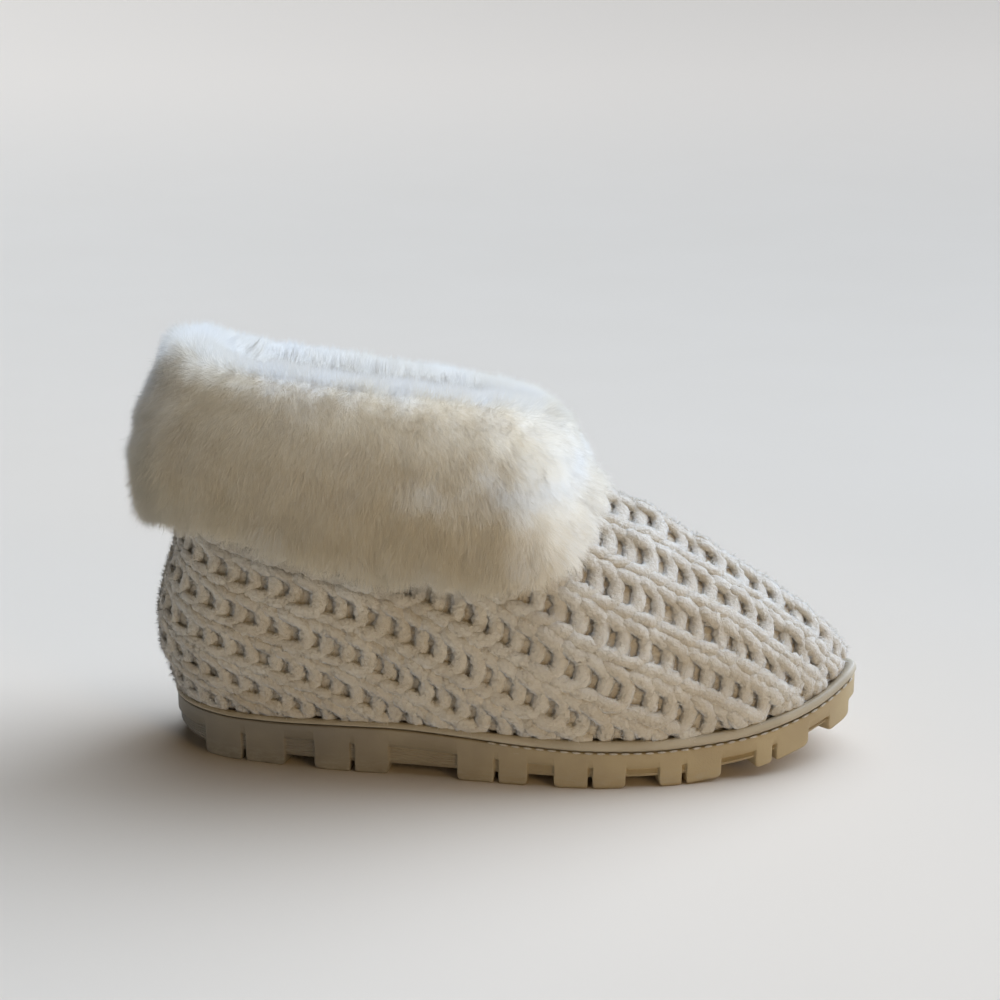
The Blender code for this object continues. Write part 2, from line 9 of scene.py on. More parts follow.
import bpy
import numpy as np
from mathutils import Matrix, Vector


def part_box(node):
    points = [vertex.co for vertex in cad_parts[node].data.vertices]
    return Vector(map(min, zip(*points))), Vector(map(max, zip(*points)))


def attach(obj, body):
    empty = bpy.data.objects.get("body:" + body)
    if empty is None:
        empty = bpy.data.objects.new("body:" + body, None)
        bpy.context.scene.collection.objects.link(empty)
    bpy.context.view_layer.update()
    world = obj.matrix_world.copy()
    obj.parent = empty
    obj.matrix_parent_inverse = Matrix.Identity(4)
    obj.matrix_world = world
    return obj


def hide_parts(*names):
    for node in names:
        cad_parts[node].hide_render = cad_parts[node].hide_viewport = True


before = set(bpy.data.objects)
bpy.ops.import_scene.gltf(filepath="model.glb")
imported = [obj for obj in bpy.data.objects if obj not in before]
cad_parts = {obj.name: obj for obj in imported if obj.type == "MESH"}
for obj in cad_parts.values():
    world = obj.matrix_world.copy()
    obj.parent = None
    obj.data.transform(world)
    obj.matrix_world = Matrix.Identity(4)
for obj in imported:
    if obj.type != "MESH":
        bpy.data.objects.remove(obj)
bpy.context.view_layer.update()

MM = 0.001
HEEL_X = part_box("outsole")[0][0] / MM
UP = np.array([0.0, 0.0, 1.0])
LATERAL, MEDIAL = -1.0, 1.0
SOLE_LENGTH = 264.0
TOE_TIP_Y = 3.0
GAP = 0.35
SHORTEST = 1e-6
JUST_UNDER = 1.001
chance = np.random.default_rng(11)

# Sole: half-widths on each side, and levels of the wall's top and the welt's bead.
OUTLINE_COLUMNS = ("x", "lateral", "medial")
OUTLINE = [
    (3, 12, 12), (10, 22, 21.5), (25, 32, 31), (45, 37, 35.5), (70, 41, 35.5), (95, 43, 35),
    (120, 46, 37.5), (145, 48.5, 42), (165, 49, 46), (185, 46, 47.5), (205, 40, 46.5),
    (222, 34, 42.5), (236, 27, 36.5), (248, 19, 28.5), (256, 11, 20.5), (262, 3, 11),
]
OUTLINE_SAMPLES = 1600
LEVEL_COLUMNS = ("x", "ground", "recess_top", "wall_top", "bead")
LEVELS = [
    (0, 2.3, 10.6, 18.0, 1.7), (18, 0.0, 10.6, 16.9, 1.7), (45, 0.0, 10.6, 16.4, 1.8),
    (72, 0.0, 10.8, 17.2, 1.9), (99, 0.0, 10.6, 17.2, 2.2), (118, 0.0, 9.8, 16.2, 2.7),
    (140, 0.0, 8.6, 14.6, 3.3), (165, 0.0, 7.8, 13.5, 4.0), (198, 0.0, 7.6, 13.4, 4.2),
    (212, 1.6, 8.8, 14.4, 4.0), (229, 4.2, 11.0, 16.8, 4.0), (245, 8.9, 15.2, 21.2, 3.8),
    (255, 12.2, 18.4, 25.3, 3.6), (264, 15.6, 21.6, 30.0, 3.6),
]

# Upper: guide lines of the wall, a row for each section.
WALL = 4.0
FEATHER_INSET = 5.0
LEAST_FOOT_INSET = 1.5
WELT_CLEARANCE = 0.7
FOOT_TUCK = 0.3
CREST_STEP = 0.5
SECTION_COLUMNS = (
    "x", "widest", "widest_z", "mid", "mid_z", "top_x", "top_half", "top_z"
)
SECTIONS = [
    (0, 4.4, 46, -4.2, 82, 8.5, 0, 136), (4, 4.4, 46, -4.0, 82, 10.6, 9, 136),
    (10, 4.3, 46, -3.2, 83, 15, 18.5, 135.7), (25, 4.0, 46, -1.8, 84, 27, 28.5, 135),
    (45, 3.3, 45, -1.5, 86, 46, 33.5, 133.5), (70, 2.6, 44, -2.5, 86, 70, 35.5, 130.5),
    (96, 2.2, 42, -3.6, 84, 96.5, 35.0, 127), (110, 2.0, 40, -5.2, 83, 112, 32.5, 124),
    (122, 1.7, 38, -7.4, 82, 125, 26, 121), (132, 1.3, 36.5, -9.7, 80.8, 134.5, 18, 118.5),
    (140, 1.0, 35.5, -11.6, 79.6, 140.5, 9.5, 116.5), (148, 0.7, 34.5, -13.0, 78.4, 143, 0, 115.5),
    (156, 0.2, 33, -14.4, 76.8, 152, 0, 108.5), (168, -0.5, 31, -15.5, 74.2, 166.5, 0, 99.2),
    (185, -1.2, 29, -14.5, 69, 184, 0, 91.8), (205, -1.8, 27.5, -13.0, 60.5, 205, 0, 79.0),
    (222, -2.2, 27, -11.5, 53.5, 221.5, 0, 69.2), (236, -2.5, 28, -9.6, 47.4, 235, 0, 60.3),
    (248, -2.9, 30, -8.0, 42.8, 245.5, 0, 52.2), (256, -3.4, 32.6, -6.6, 39.6, 252.7, 0, 45.6),
    (260, -3.9, 34.2, -5.6, 38.0, 256.8, 0, 41.0), (262.5, -4.3, 34.8, -4.9, 36.2, 259.0, 0, 37.6),
    (264, -4.5, 34.6, -4.5, 34.6, 259.5, 0, 34.6),
]
THROAT_X = 148.0
COLLAR_FRONT_X = 96.0
SECTION_SAMPLES = 40

# Knit: wales run from the heel to the toe, courses across them.
# "spread" is the wales' share of their full pitch. In front of the turn they follow the crest,
# and draw together beside it by "pinch".
WALE_PITCH = 17.8
COURSE_PITCH = 8.5
WALE_COLUMNS = ("x", "degrees", "spread", "pinch")
WALES = [
    (0, 17, 0.77, 0), (35, 17, 0.77, 0), (55, 17.5, 0.81, 0), (75, 19, 0.86, 0),
    (94, 21, 0.94, 0), (112, 24, 1.0, 0), (140, 25, 1.0, 0), (172, 27, 1.0, 0),
    (182, 27, 1.0, 0.6), (200, 27, 1.0, 4.4), (218, 27, 1.0, 8.4), (230, 27, 1.0, 9.5),
    (264, 27, 1.0, 9.5),
]
WALE_TURN_X = 170.0
MIDDLE_ROW = 35.0
PINCH_REACH = 45.0

# Half of one loop, from its tip to the middle of the rung that leads to the next wale:
# places along and across the wales, height, radius, and how far it thins as the wales close up.
ARM = [
    (-6.2, 0.2, -1.9, 0.7, 1.1),
    (-4.7, 0.8, -0.9, 2.1, 1.1),
    (-2.4, 1.5, 0.2, 2.7, 1.1),
    (1.0, 2.1, 0.6, 2.95, 1.1),
    (4.2, 2.6, 0.5, 2.95, 1.0),
    (6.4, 3.6, 0.1, 3.0, 0.6),
    (7.5, 5.6, -0.3, 3.05, 0.2),
    (7.8, 8.7, -0.5, 3.05, 0.0),
]
RUNG_SLANT, LOOP_LEAN = 9.0, 1.0
UNEVEN = {"along": 0.6, "height": 0.3, "radius": 0.07, "lean": 0.9}
YARN_STEPS = 12
YARN_SIDES = 9
YARN_FLATNESS = 0.6
YARN_ROUGHNESS = 0.12
# How far the yarn runs: past the wall's foot and crest, or up under the cuff and the rim.
PAST_FOOT, PAST_CREST = -1.5, 2.0
UNDER_CUFF, UNDER_RIM = 15.0, 1.0
COLLAR_END_X = 150.0
END_STATIONS = (0.02, 1.2)
LEAST_SAMPLES = 4
SINK_NEAR_FOOT, SINK_SHARE = 2.5, 0.45
# Short pile of the yarn.
FUZZ_HAIRS = 90000
FUZZ_LENGTH = (1.3, 2.7)
FUZZ_WIDTH = 0.3
FUZZ_ROOT = 0.15
FUZZ_OUT, FUZZ_ALONG, FUZZ_SCATTER = 0.75, 0.45, 0.4
# Tones of the pile's fibres, spread wide so that pale fibres stand in for glints: painted glints as
# well as random tone.
FUZZ_TONE_AND_PAINTED_GLINT = (0.5, 2.2)
# Ground cloth and lining, and the two strands of the seam at the back.
GROUND_DEPTH, GROUND_THICKNESS, GROUND_FOOT_THICKNESS = 0.9, 0.4, 0.5
LINING_THICKNESS = 0.4
SEAM_FOOT, SEAM_TOP = 2.5, 92.0
SEAM_TWIST = 15.0
SEAM_LENGTHS = 6
SEAM_RADIUS = 2.5
SEAM_PROUD, SEAM_WAVE, SEAM_HALF_WIDTH = 0.5, 0.9, 1.8

# Cuff: half of the ring from the heel's back to the front, a row for each section.
CUFF_COLUMNS = (
    "hem_x", "hem_y", "hem_z", "full_x", "full_y", "full_z",
    "top_x", "top_y", "top_z", "inside_x", "inside_y",
)
CUFF = [
    (-6, 0, 92, -11.5, 0, 107, 8.5, 0, 157.5, 23, 0),
    (-1.5, 20, 93.5, -6.5, 22.5, 108, 12, 15, 156.5, 25.5, 9),
    (13, 35.5, 95.5, 9, 40, 109, 22.5, 27, 153, 32, 16.5),
    (32, 45, 94.5, 30.5, 48.5, 107.5, 38, 33, 149.5, 43, 20),
    (60, 50.5, 88.5, 60, 53, 105, 59, 35.5, 147, 58, 22),
    (90, 52, 82.5, 90, 54, 101, 84, 36, 143.5, 80, 22),
    (118, 52, 79.5, 118, 54, 98, 106, 33.5, 141, 99, 19),
    (141, 50.5, 80.5, 141, 51.5, 98, 123, 27.5, 138.5, 114, 13.5),
    (154, 42, 84.5, 153.5, 42, 101, 133, 20, 137, 121, 8),
    (161.5, 25, 93, 159, 25, 108, 138.5, 10.5, 135, 125, 4),
    (164, 0, 102.5, 160, 0, 112.5, 140.5, 0, 134.5, 126, 0),
]
CUFF_MEDIAL_SCALE = 0.97
SHOULDER_SHARE = 0.64
SHOULDER_OUT = 3.6
SHOULDER_UP = 3.2
MEDIAL_DROP = 2.5
ROLL_SHARE = 0.65
ROLL_LIFT = 5.0
INSIDE_DROP = 13.0
INNER_FOLD = 25.0
INNER_FOOT_OUT = 3.0
HEM_TUCK = 7.0
HEM_TUCK_UP = 1.0
CUFF_STATIONS = 90
CUFF_PLACES = np.concatenate(
    [np.linspace(-1, 0, 4)[:-1], np.linspace(0, 1, 25)[:-1], np.linspace(1, 2, 11)[:-1],
     np.linspace(2, 3, 9)]
)
PILE = 2.6
CUFF_SHEET = 2.5

# Pile: how it lies at each place, from under the hem to the inner fold's foot. "lay" is
# towards the hem, "rise" away from the sheet, "shading" the share that shades the rest.
# The column after "ruffle" lifts the hairs' shading and paints them: painted light on the
# roll and inside the collar, a little on the hem's fringe, and below zero painted shade in
# the fold above the hem.
FUR_COLUMNS = (
    "place", "density", "length", "lay", "rise", "ruffle", "lift_and_painted_light", "pull", "shading"
)
FUR = [
    (-1.0, 0.4, 5.0, -0.3, 0.5, 0.3, 0, 0, 1),
    (-0.3, 0.8, 6.0, 0.5, 0.5, 0.3, 0, 0.1, 1),
    (-0.05, 1.4, 10.0, 1.0, 0.7, 0.35, 0.3, 0.8, 0.8),
    (0.06, 1.5, 12.0, 1.0, 0.8, 0.3, 0.3, 0.8, 0.55),
    (0.14, 1.2, 10.5, 1.0, 0.6, 0.3, -0.2, 0.4, 0.4),
    (0.25, 1.1, 8.5, 1.0, 0.5, 0.28, -0.15, 0.15, 0.3),
    (0.45, 1.0, 7.0, 1.0, 0.5, 0.26, 0, 0.06, 0.27),
    (0.62, 1.0, 7.0, 1.0, 0.5, 0.26, 0, 0.06, 0.25),
    (0.76, 1.1, 7.0, 0.9, 0.55, 0.28, 0, 0.08, 0.16),
    (0.88, 1.2, 7.0, 0.8, 0.7, 0.35, 0.1, 0.12, 0.1),
    (0.95, 1.4, 7.0, 0.65, 0.8, 0.4, 0.6, 0.15, 0.06),
    (1.0, 1.5, 7.0, 0.5, 0.9, 0.4, 1.1, 0.2, 0.05),
    (1.3, 1.6, 8.0, 0.1, 1.0, 0.4, 2.0, 0.2, 0.1),
    (1.7, 1.5, 10.0, -0.2, 1.0, 0.4, 2.3, 0.2, 0.2),
    (2.1, 1.0, 11.0, -0.8, 0.8, 0.3, 1.8, 0.1, 0.3),
    (2.6, 0.5, 8.0, -1.0, 0.5, 0.2, 0.2, 0, 0.5),
    (3.0, 0.3, 6.0, -1.0, 0.5, 0.2, 0, 0, 0.5),
]
# Crease along the pile in front of an x, and the front where the pile parts: both tilt the
# hairs' shading up to catch light, and both are painted lighter as painted light.
CREASE_PLACE, CREASE_WIDTH = 0.42, 0.075
CREASE_FROM, CREASE_TO = 94.0, 112.0
CREASE_DEPTH = 0.9
CREASE_RISE, CREASE_LIFT_AND_PAINTED_LIGHT = 0.4, 0.8
FRONT_FROM, FRONT_TO = 124.0, 150.0
FRONT_LIFT_AND_PAINTED_LIGHT, FRONT_CLEAR, FRONT_TURN = 0.8, 0.7, 3.0
# Painted light: how much lighter the pile's tone is painted where its shading is lifted.
PAINTED_LIGHT_PER_LIFT = 4.0
# Hairs: their number, width and the spread of their lengths and widths.
FUR_HAIRS = 510000
FUR_WIDTH = 0.26
FUR_LENGTHS, FUR_WIDTHS = (0.8, 1.1), (0.7, 1.3)
FUR_TWIST, FUR_SOFTNESS = 0.3, 0.08
FUR_TUFT = 3.2
TUFT_TABLE = 61
FUR_PIECES = 3
# Soft waves that make the pile uneven: height and size of each.
FUR_WAVES = {
    "stray": [(0.032, 18), (0.025, 7)], "crease": [(0.3, 18)], "front": [(5.0, 16)],
    "drift": [(0.09, 36), (0.07, 15)], "swell": [(0.07, 24), (0.05, 10)], "length": [(0.1, 14)],
}

# Sole: its lugs in pairs, with a slit between them, and the sizes of their edges.
LUG_PAIRS = [
    (18, 34.5, 51), (62.5, 77.2, 91), (116.5, 131, 142.5),
    (152, 165.2, 178), (190, 199, 212.5), (225, 232, 245),
]
TOE_LUG = (253, 261.5)
SLIT_WIDTH = 1.6
SLIT_ROUND = 1.1
LUG_ROUND = 1.9
LUG_HEIGHT = 3.7
LUG_LENGTH = 15.0
LUG_LENGTH_AT_ENDS = 7.0
LUG_TAPER = 30.0
CHANNEL = 7.0
BAR_END = 248.0
RECESS_DEPTH = 1.4
FINE_RIB = 0.45
RIBS = 5
LUG_CHAMFER = 0.6
SOLE_TOP_INSET, SOLE_TOP_DROP = 6.0, 0.2
END_STEPS = np.array([0.0, 0.3, 0.8, 1.6, 2.8, 4.4, 6.4, 8.8, 11.4])
BETWEEN_ENDS = (14.0, SOLE_LENGTH - 12.0)
LUG_END_STEPS = np.array([-1.0, -0.55, -0.25, 0.0, 0.2, 0.5, 1.0, 1.7, 2.6])
SOLE_PITCH, FOOTBED_PITCH, LEAST_PITCH = 3.0, 4.0, 0.12

# Welt: its bead's outer edge, as inset from the sole's edge and share of its height.
WELT_OUTER = [(0.9, 0.0), (-0.5, 0.42), (0.1, 0.84), (1.9, 1.0)]
WELT_TOP_AT_UPPER = 0.6
WELT_SAMPLES = 10
STITCHED = (128.0, SOLE_LENGTH - 0.3)
STITCH_LENGTH = 3.0
STITCH_PITCH = 4.4
STITCH_BODY = 0.45 * np.array([0.3, 0.85, 1.0, 0.85, 0.3])
STITCH_SIDES = 6
STITCH_PLACES = 900
STITCH_PROUD, STITCH_HEIGHT = 0.05, 0.4

# Footbed: share of the way to its middle, and height over the sole.
FOOTBED = [
    (0, 0), (0, 3.4), (0.02, 4.3), (0.07, 4.9), (0.2, 5), (0.45, 5), (0.75, 5), (1, 5), (1, 0)
]
# Its hollows under heel and ball: depth, middle and reach.
DENTS = [(1.1, 38, 26), (0.9, 185, 34)]
FOOTBED_SIDE = 4.0
MIDDLE_SHARE = 0.02


# Curves, tables and the wall's surface ------------------------------------------------------


def metres(points):
    """Frame's metres of points in the shoe's millimetres."""
    return (np.asarray(points, float) + (HEEL_X, 0.0, 0.0)) * MM


def unit(vectors):
    """Vectors of length one in the same directions."""
    size = np.linalg.norm(vectors, axis=-1, keepdims=True)
    return vectors / np.maximum(size, SHORTEST)


def arc_lengths(line):
    """Distance along a line to each of its points."""
    steps = np.maximum(np.linalg.norm(np.diff(line, axis=0), axis=1), SHORTEST)
    return np.concatenate([[0.0], np.cumsum(steps)])


def smooth_step(share):
    """Share from 0 to 1 with a soft start and a soft end."""
    return share * share * (3 - 2 * share)


def between(first, second, share):
    """Straight blend, from the first at a share of 0 to the second at 1."""
    return first * (1 - share) + second * share


def hermite(knots, values, x):
    """Smooth curve through values at knots, with slopes taken from their neighbours."""
    knots, values = np.asarray(knots, float), np.asarray(values, float)
    steps = np.diff(knots)
    wide = steps.reshape((-1,) + (1,) * (values.ndim - 1))
    secants = np.diff(values, axis=0) / wide
    inner = (secants[:-1] * wide[1:] + secants[1:] * wide[:-1]) / (wide[1:] + wide[:-1])
    slopes = np.concatenate([secants[:1], inner, secants[-1:]])
    x = np.clip(x, knots[0], knots[-1])
    i = np.clip(np.searchsorted(knots, x, side="right") - 1, 0, len(knots) - 2)
    t, step = (x - knots[i]) / steps[i], steps[i]
    if values.ndim > 1 and np.ndim(x):
        t, step = t[:, None], step[:, None]
    rise = (2 * t**3 - 3 * t**2 + 1) * values[i] + (3 * t**2 - 2 * t**3) * values[i + 1]
    turn = (t**3 - 2 * t**2 + t) * slopes[i] + (t**3 - t**2) * slopes[i + 1]
    return rise + turn * step


def column_reader(table, columns):
    """Function of x that reads a table's named column smoothly between its rows."""
    rows = np.array(table, float)
    return lambda name, x: float(hermite(rows[:, 0], rows[:, columns.index(name)], x))


level = column_reader(LEVELS, LEVEL_COLUMNS)
guide = column_reader(SECTIONS, SECTION_COLUMNS)
wales = column_reader(WALES, WALE_COLUMNS)


def half_outline(side):
    """Dense points and outward normals of one side of the sole, from heel to toe."""
    names = ("lateral", "medial") if side == LATERAL else ("medial", "lateral")
    near, far = (
        [(row[0], sign * row[OUTLINE_COLUMNS.index(name)]) for row in OUTLINE]
        for name, sign in zip(names, (side, -side))
    )
    toe_tip = (SOLE_LENGTH, TOE_TIP_Y)
    knots = np.array([far[1], far[0], (0.0, 0.0), *near, toe_tip, far[-1], far[-2]])
    chord = arc_lengths(knots)
    points = hermite(chord, knots, np.linspace(chord[2], chord[-3], OUTLINE_SAMPLES))
    tangents = np.gradient(points, axis=0)
    tangents[0], tangents[-1] = (0.0, side), (0.0, -side)
    return points, unit(np.stack([-tangents[:, 1], tangents[:, 0]], axis=1) * side)


HALVES = {side: half_outline(side) for side in (LATERAL, MEDIAL)}


def rim(side, x):
    """Point of the sole's outline at x on one side, and its outward direction."""
    points, normals = HALVES[side]
    xs = np.maximum.accumulate(points[:, 0])
    point = np.array([x, np.interp(x, xs, points[:, 1]), 0.0])
    return point, unit(np.array([np.interp(x, xs, normals[:, k]) for k in (0, 1)] + [0.0]))


def on_rim(side, x, profile):
    """Points of a profile at x, whose rows are an inset from the rim and a height."""
    point, out = rim(side, x)
    return [point - out * inset + UP * height for inset, height in profile]


def closing(x):
    """0 where the collar is open above a section, 1 where the section meets the crest."""
    return smooth_step(np.clip((x - COLLAR_FRONT_X) / (THROAT_X - COLLAR_FRONT_X), 0.0, 1.0))


def crest_normal(x):
    """Direction square to the crest, in the middle plane."""
    run, fall = (
        guide(name, x + CREST_STEP) - guide(name, x - CREST_STEP) for name in ("top_x", "top_z")
    )
    return unit(np.array([-fall, 0.0, run]))


def over_bead(x):
    """Height at which the wall's foot comes out over the welt's bead."""
    return level("wall_top", x) + GAP + level("bead", x) + WELT_CLEARANCE


def upper_section(side, x, inset):
    """Dense points of one half-section of the upper's wall, from the welt to rim or crest."""
    _, out = rim(side, x)
    closed, least, widest = closing(x), over_bead(x), guide("widest", x)
    foot_inset = min(max(-widest, LEAST_FOOT_INSET), FEATHER_INSET)
    profile = [
        (foot_inset + inset, least), (inset - widest, max(guide("widest_z", x), least)),
        (-guide("mid", x), guide("mid_z", x)),
    ]
    foot, side_point, shoulder = on_rim(side, x, profile)
    shoulder = shoulder - unit(out + UP * closed) * inset
    half = max(guide("top_half", x), 0.0) if x < THROAT_X else 0.0
    middle = TOE_TIP_Y * (x / SOLE_LENGTH) ** 3
    top = np.array([guide("top_x", x), middle + side * half, guide("top_z", x)])
    top = top - unit(between(out, crest_normal(x), closed)) * inset
    if half == 0.0:
        top[1] = middle
    across = np.array([0.0, -side, 0.0]) * np.linalg.norm(top - shoulder)
    beyond = top + (top - shoulder) * (1 - closed) + across * closed
    values = np.array([foot, side_point, shoulder, top, beyond])
    knots = arc_lengths(values)
    return hermite(knots, values, np.linspace(0, knots[3], SECTION_SAMPLES))


def surface_normals(ring):
    """Outward normals of a ring of sections."""
    around = np.roll(ring, -1, axis=0) - np.roll(ring, 1, axis=0)
    return unit(np.cross(around, np.gradient(ring, axis=1)))


def even_line(line, count):
    """The same line with its points evenly spaced."""
    arcs = arc_lengths(line)
    places = np.linspace(0, arcs[-1], count)
    return np.stack([np.interp(places, arcs, line[:, k]) for k in range(3)], axis=1)


def ring_places(xs):
    """Side and place of the sections round the shoe: heel, lateral side, toe, medial side."""
    return [(LATERAL, x) for x in xs] + [(MEDIAL, x) for x in xs[-2:0:-1]]


def mesh_ring(xs, column):
    """Sections round the shoe, each a column of points."""
    return np.array([column(side, x) for side, x in ring_places(xs)])


def even_stations(pitch):
    """Places along the sole at a pitch, and closer together at both ends."""
    return sorted({*np.arange(*BETWEEN_ENDS, pitch), *END_STEPS, *(SOLE_LENGTH - END_STEPS)})


class Wall:
    """The upper's outer surface, addressed by station and by distance across the wales."""

    POINTS = 48

    def __init__(self):
        heel = [0, 0.5, 1.2, 2.4, 4.2, 6.5, 9.5, 13, 17, 21.5, 26.5]
        middle = list(np.arange(32, 244, 4.6).round(2))
        toe = [247, 250, 252.5, 254.5, 256.5, 258, 259.3, 260.5, 261.5, 262.4, 263.2]
        self.xs = heel + middle + toe
        self.places = ring_places(self.xs)
        self.count = len(self.xs)
        lateral = np.arange(self.count)
        self.halves = {LATERAL: lateral, MEDIAL: -lateral % len(self.places)}
        ring = mesh_ring(self.xs, lambda side, x: upper_section(side, x, 0.0))
        self.ring = np.array([even_line(line, self.POINTS) for line in ring])
        self.normals = surface_normals(self.ring)
        for x, *both in zip(self.xs, *self.halves.values()):
            if x >= THROAT_X:
                self.normals[both, -1] = unit(self.normals[both, -1].sum(axis=0))
        self.lengths = np.array([arc_lengths(line)[-1] for line in self.ring])
        self.spread, self.pinch = (
            np.array([wales(name, x) for _, x in self.places]) for name in ("spread", "pinch")
        )
        self.starts = self.wale_starts()

    def wale_starts(self):
        """Distance of each section's foot from the crest, across the wales.

        In front of the turn it is the section's own length. Behind it, the wales at middle
        height keep their slope, and both sides share one value at the heel.
        """
        starts = self.lengths.copy()
        turn = self.xs.index(WALE_TURN_X)
        found = {}
        for side, half in self.halves.items():
            feet = self.ring[half, 0]
            run = [starts[half[turn]]]
            for j in range(turn, 0, -1):
                middle = (self.xs[j] + self.xs[j - 1]) / 2
                rise = math.tan(math.radians(wales("degrees", middle)))
                rise *= np.linalg.norm(feet[j] - feet[j - 1])
                across = (run[-1] - MIDDLE_ROW) / self.spread[j]
                run.append(MIDDLE_ROW + rise + across * self.spread[j - 1])
            found[side] = np.array(run[:0:-1])
        at_back = np.mean([run[0] for run in found.values()])
        share = 1 - np.array(self.xs[:turn]) / WALE_TURN_X
        for side, half in self.halves.items():
            starts[half[:turn]] = found[side] + share * (at_back - found[side][0])
        return starts

    def drop(self, index, across):
        """How far below the crest a line across the wales lies at sections."""
        pinch = self.pinch[index] * np.tanh(across / PINCH_REACH)
        return across * self.spread[index] - pinch

    def read(self, index, arc):
        """Points and normals at arc lengths up sections, running straight on past both ends."""
        place = arc / self.lengths[index] * (self.POINTS - 1)
        cell = np.clip(place.astype(int), 0, self.POINTS - 2)
        share = (place - cell)[:, None]
        points = between(self.ring[index, cell], self.ring[index, cell + 1], share)
        share = np.clip(share, 0.0, 1.0)
        return points, between(self.normals[index, cell], self.normals[index, cell + 1], share)

    def at(self, station, across):
        """Points, normals and arc lengths at float stations and signed distances from the crest."""
        station = np.clip(station, 0.0, self.count - JUST_UNDER)
        first = station.astype(int)
        share = (station - first)[:, None]
        table = np.stack(list(self.halves.values()))
        side = (across > 0).astype(int)
        total = [0.0, 0.0, 0.0]
        for step, weight in ((0, 1 - share), (1, share)):
            index = table[side, first + step]
            arc = self.starts[index] - self.drop(index, np.abs(across))
            found = (*self.read(index, arc), arc[:, None])
            total = [part + more * weight for part, more in zip(total, found)]
        points, normals, arcs = total
        return points, unit(normals), arcs[:, 0]


wall = Wall()


# Meshes -------------------------------------------------------------------------------------


def make_piece(name, points, faces, normals=None, **numbers):
    """Smooth mesh, in metres, of points in millimetres and of faces with equal corner counts.

    numbers are attributes with a value for each point.
    """
    mesh = bpy.data.meshes.new(name)
    used, corners = np.unique(faces, return_inverse=True)
    points = metres(np.asarray(points, float)[used])
    mesh.vertices.add(len(points))
    mesh.vertices.foreach_set("co", points.astype(np.float32).ravel())
    mesh.loops.add(faces.size)
    mesh.loops.foreach_set("vertex_index", corners.astype(np.int32).ravel())
    mesh.polygons.add(len(faces))
    starts = np.arange(len(faces)) * faces.shape[1]
    mesh.polygons.foreach_set("loop_start", starts.astype(np.int32))
    mesh.update(calc_edges=True)
    mesh.shade_smooth()
    for key, values in numbers.items():
        layer = mesh.attributes.new(key, "FLOAT", "POINT")
        layer.data.foreach_set("value", np.asarray(values, np.float32)[used])
    if normals is not None:
        mesh.normals_split_custom_set_from_vertices(np.asarray(normals)[used].tolist())
    piece = bpy.data.objects.new(name, mesh)
    bpy.context.collection.objects.link(piece)
    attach(piece, "root")
    return piece


def grid_faces(rows, columns, closed_rows=False, closed_columns=False):
    """Corner indices of the quads of a grid of points laid out row by row."""
    i = np.arange(rows if closed_rows else rows - 1)
    j = np.arange(columns if closed_columns else columns - 1)
    i, j = (part.ravel() for part in np.meshgrid(i, j, indexing="ij"))
    up, on = (i + 1) % rows, (j + 1) % columns
    corners = [i * columns + j, up * columns + j, up * columns + on, i * columns + on]
    return np.stack(corners, axis=1)


def make_ring(name, ring, downward=False):
    """Closed piece of closed sections, which run up its outside, or downward."""
    faces = grid_faces(*ring.shape[:2], closed_rows=True, closed_columns=True)
    return make_piece(name, ring.reshape(-1, 3), faces[:, ::-1] if downward else faces)


def make_shell(name, outer, inner):
    """Closed sheet between an outer and an inner set of columns."""
    return make_ring(name, np.concatenate([outer, inner[:, ::-1]], axis=1))


# Knit ---------------------------------------------------------------------------------------


class Courses:
    """Distance along the wales over the whole upper, with courses square to them.

    It is found by least squares, from steps along each wale and from each wale to the next.
    """

    FAR_WEIGHT = 0.03
    EDGE = 6.0

    def __init__(self):
        self.reach = int((wall.starts / wall.spread).max() / WALE_PITCH) + 1
        self.lines = np.arange(-self.reach, self.reach + 1)
        self.stations = np.arange(0, wall.count, 2)
        lines, stations = np.meshgrid(self.lines, self.stations, indexing="ij")
        across = (lines * WALE_PITCH).ravel().astype(float)
        station = stations.ravel().astype(float)
        points, _, arcs = wall.at(station, across)
        mirror, _, _ = wall.at(station, np.maximum(across, SHORTEST))
        points = np.where((across == 0)[:, None], (points + mirror) / 2, points)
        points, arcs = points.reshape(*lines.shape, 3), arcs.reshape(lines.shape)
        limit = self.section_lengths(stations, lines) + self.EDGE
        weight = np.where((arcs > -self.EDGE) & (arcs < limit), 1.0, self.FAR_WEIGHT)
        along = np.linalg.norm(np.diff(points, axis=1), axis=2)
        tangents = unit(np.gradient(points, axis=1))
        between = unit(tangents[1:] + tangents[:-1])
        across = np.sum(np.diff(points, axis=0) * between, axis=2)
        number = np.arange(lines.size).reshape(lines.shape)
        steps = [
            (number[:, :-1], number[:, 1:], along, np.minimum(weight[:, :-1], weight[:, 1:])),
            (number[:-1], number[1:], across, np.minimum(weight[:-1], weight[1:])),
        ]
        normal = np.eye(lines.size) * SHORTEST
        total = np.zeros(lines.size)
        for step in steps:
            before, after, rise, trust = (part.ravel() for part in step)
            for a, b in ((before, after), (after, before)):
                np.add.at(normal, (a, a), trust)
                np.add.at(normal, (a, b), -trust)
            np.add.at(total, before, -trust * rise)
            np.add.at(total, after, trust * rise)
        self.field = np.linalg.solve(normal, total).reshape(lines.shape)
        self.field -= self.field[self.reach, -1]

    def section_lengths(self, stations, lines):
        """Lengths of the wall's sections at stations, on the side that each line is on."""
        lateral, medial = (wall.lengths[half][stations] for half in wall.halves.values())
        return np.where(lines > 0, medial, lateral)

    def station(self, along, across):
        """Float stations of points given by distance along and across the wales."""
        place = np.clip(across / WALE_PITCH + self.reach, 0, len(self.lines) - JUST_UNDER)
        first = place.astype(int)
        share = (place - first)[:, None]
        profiles = between(self.field[first], self.field[first + 1], share)
        return np.array([np.interp(a, row, self.stations) for a, row in zip(along, profiles)])


courses = Courses()


def hem_height(x):
    """Height of the cuff's hem over a point of the knit."""
    hem_x, _, hem_z = np.array(CUFF, float).T[:3]
    return np.interp(x, hem_x, hem_z)


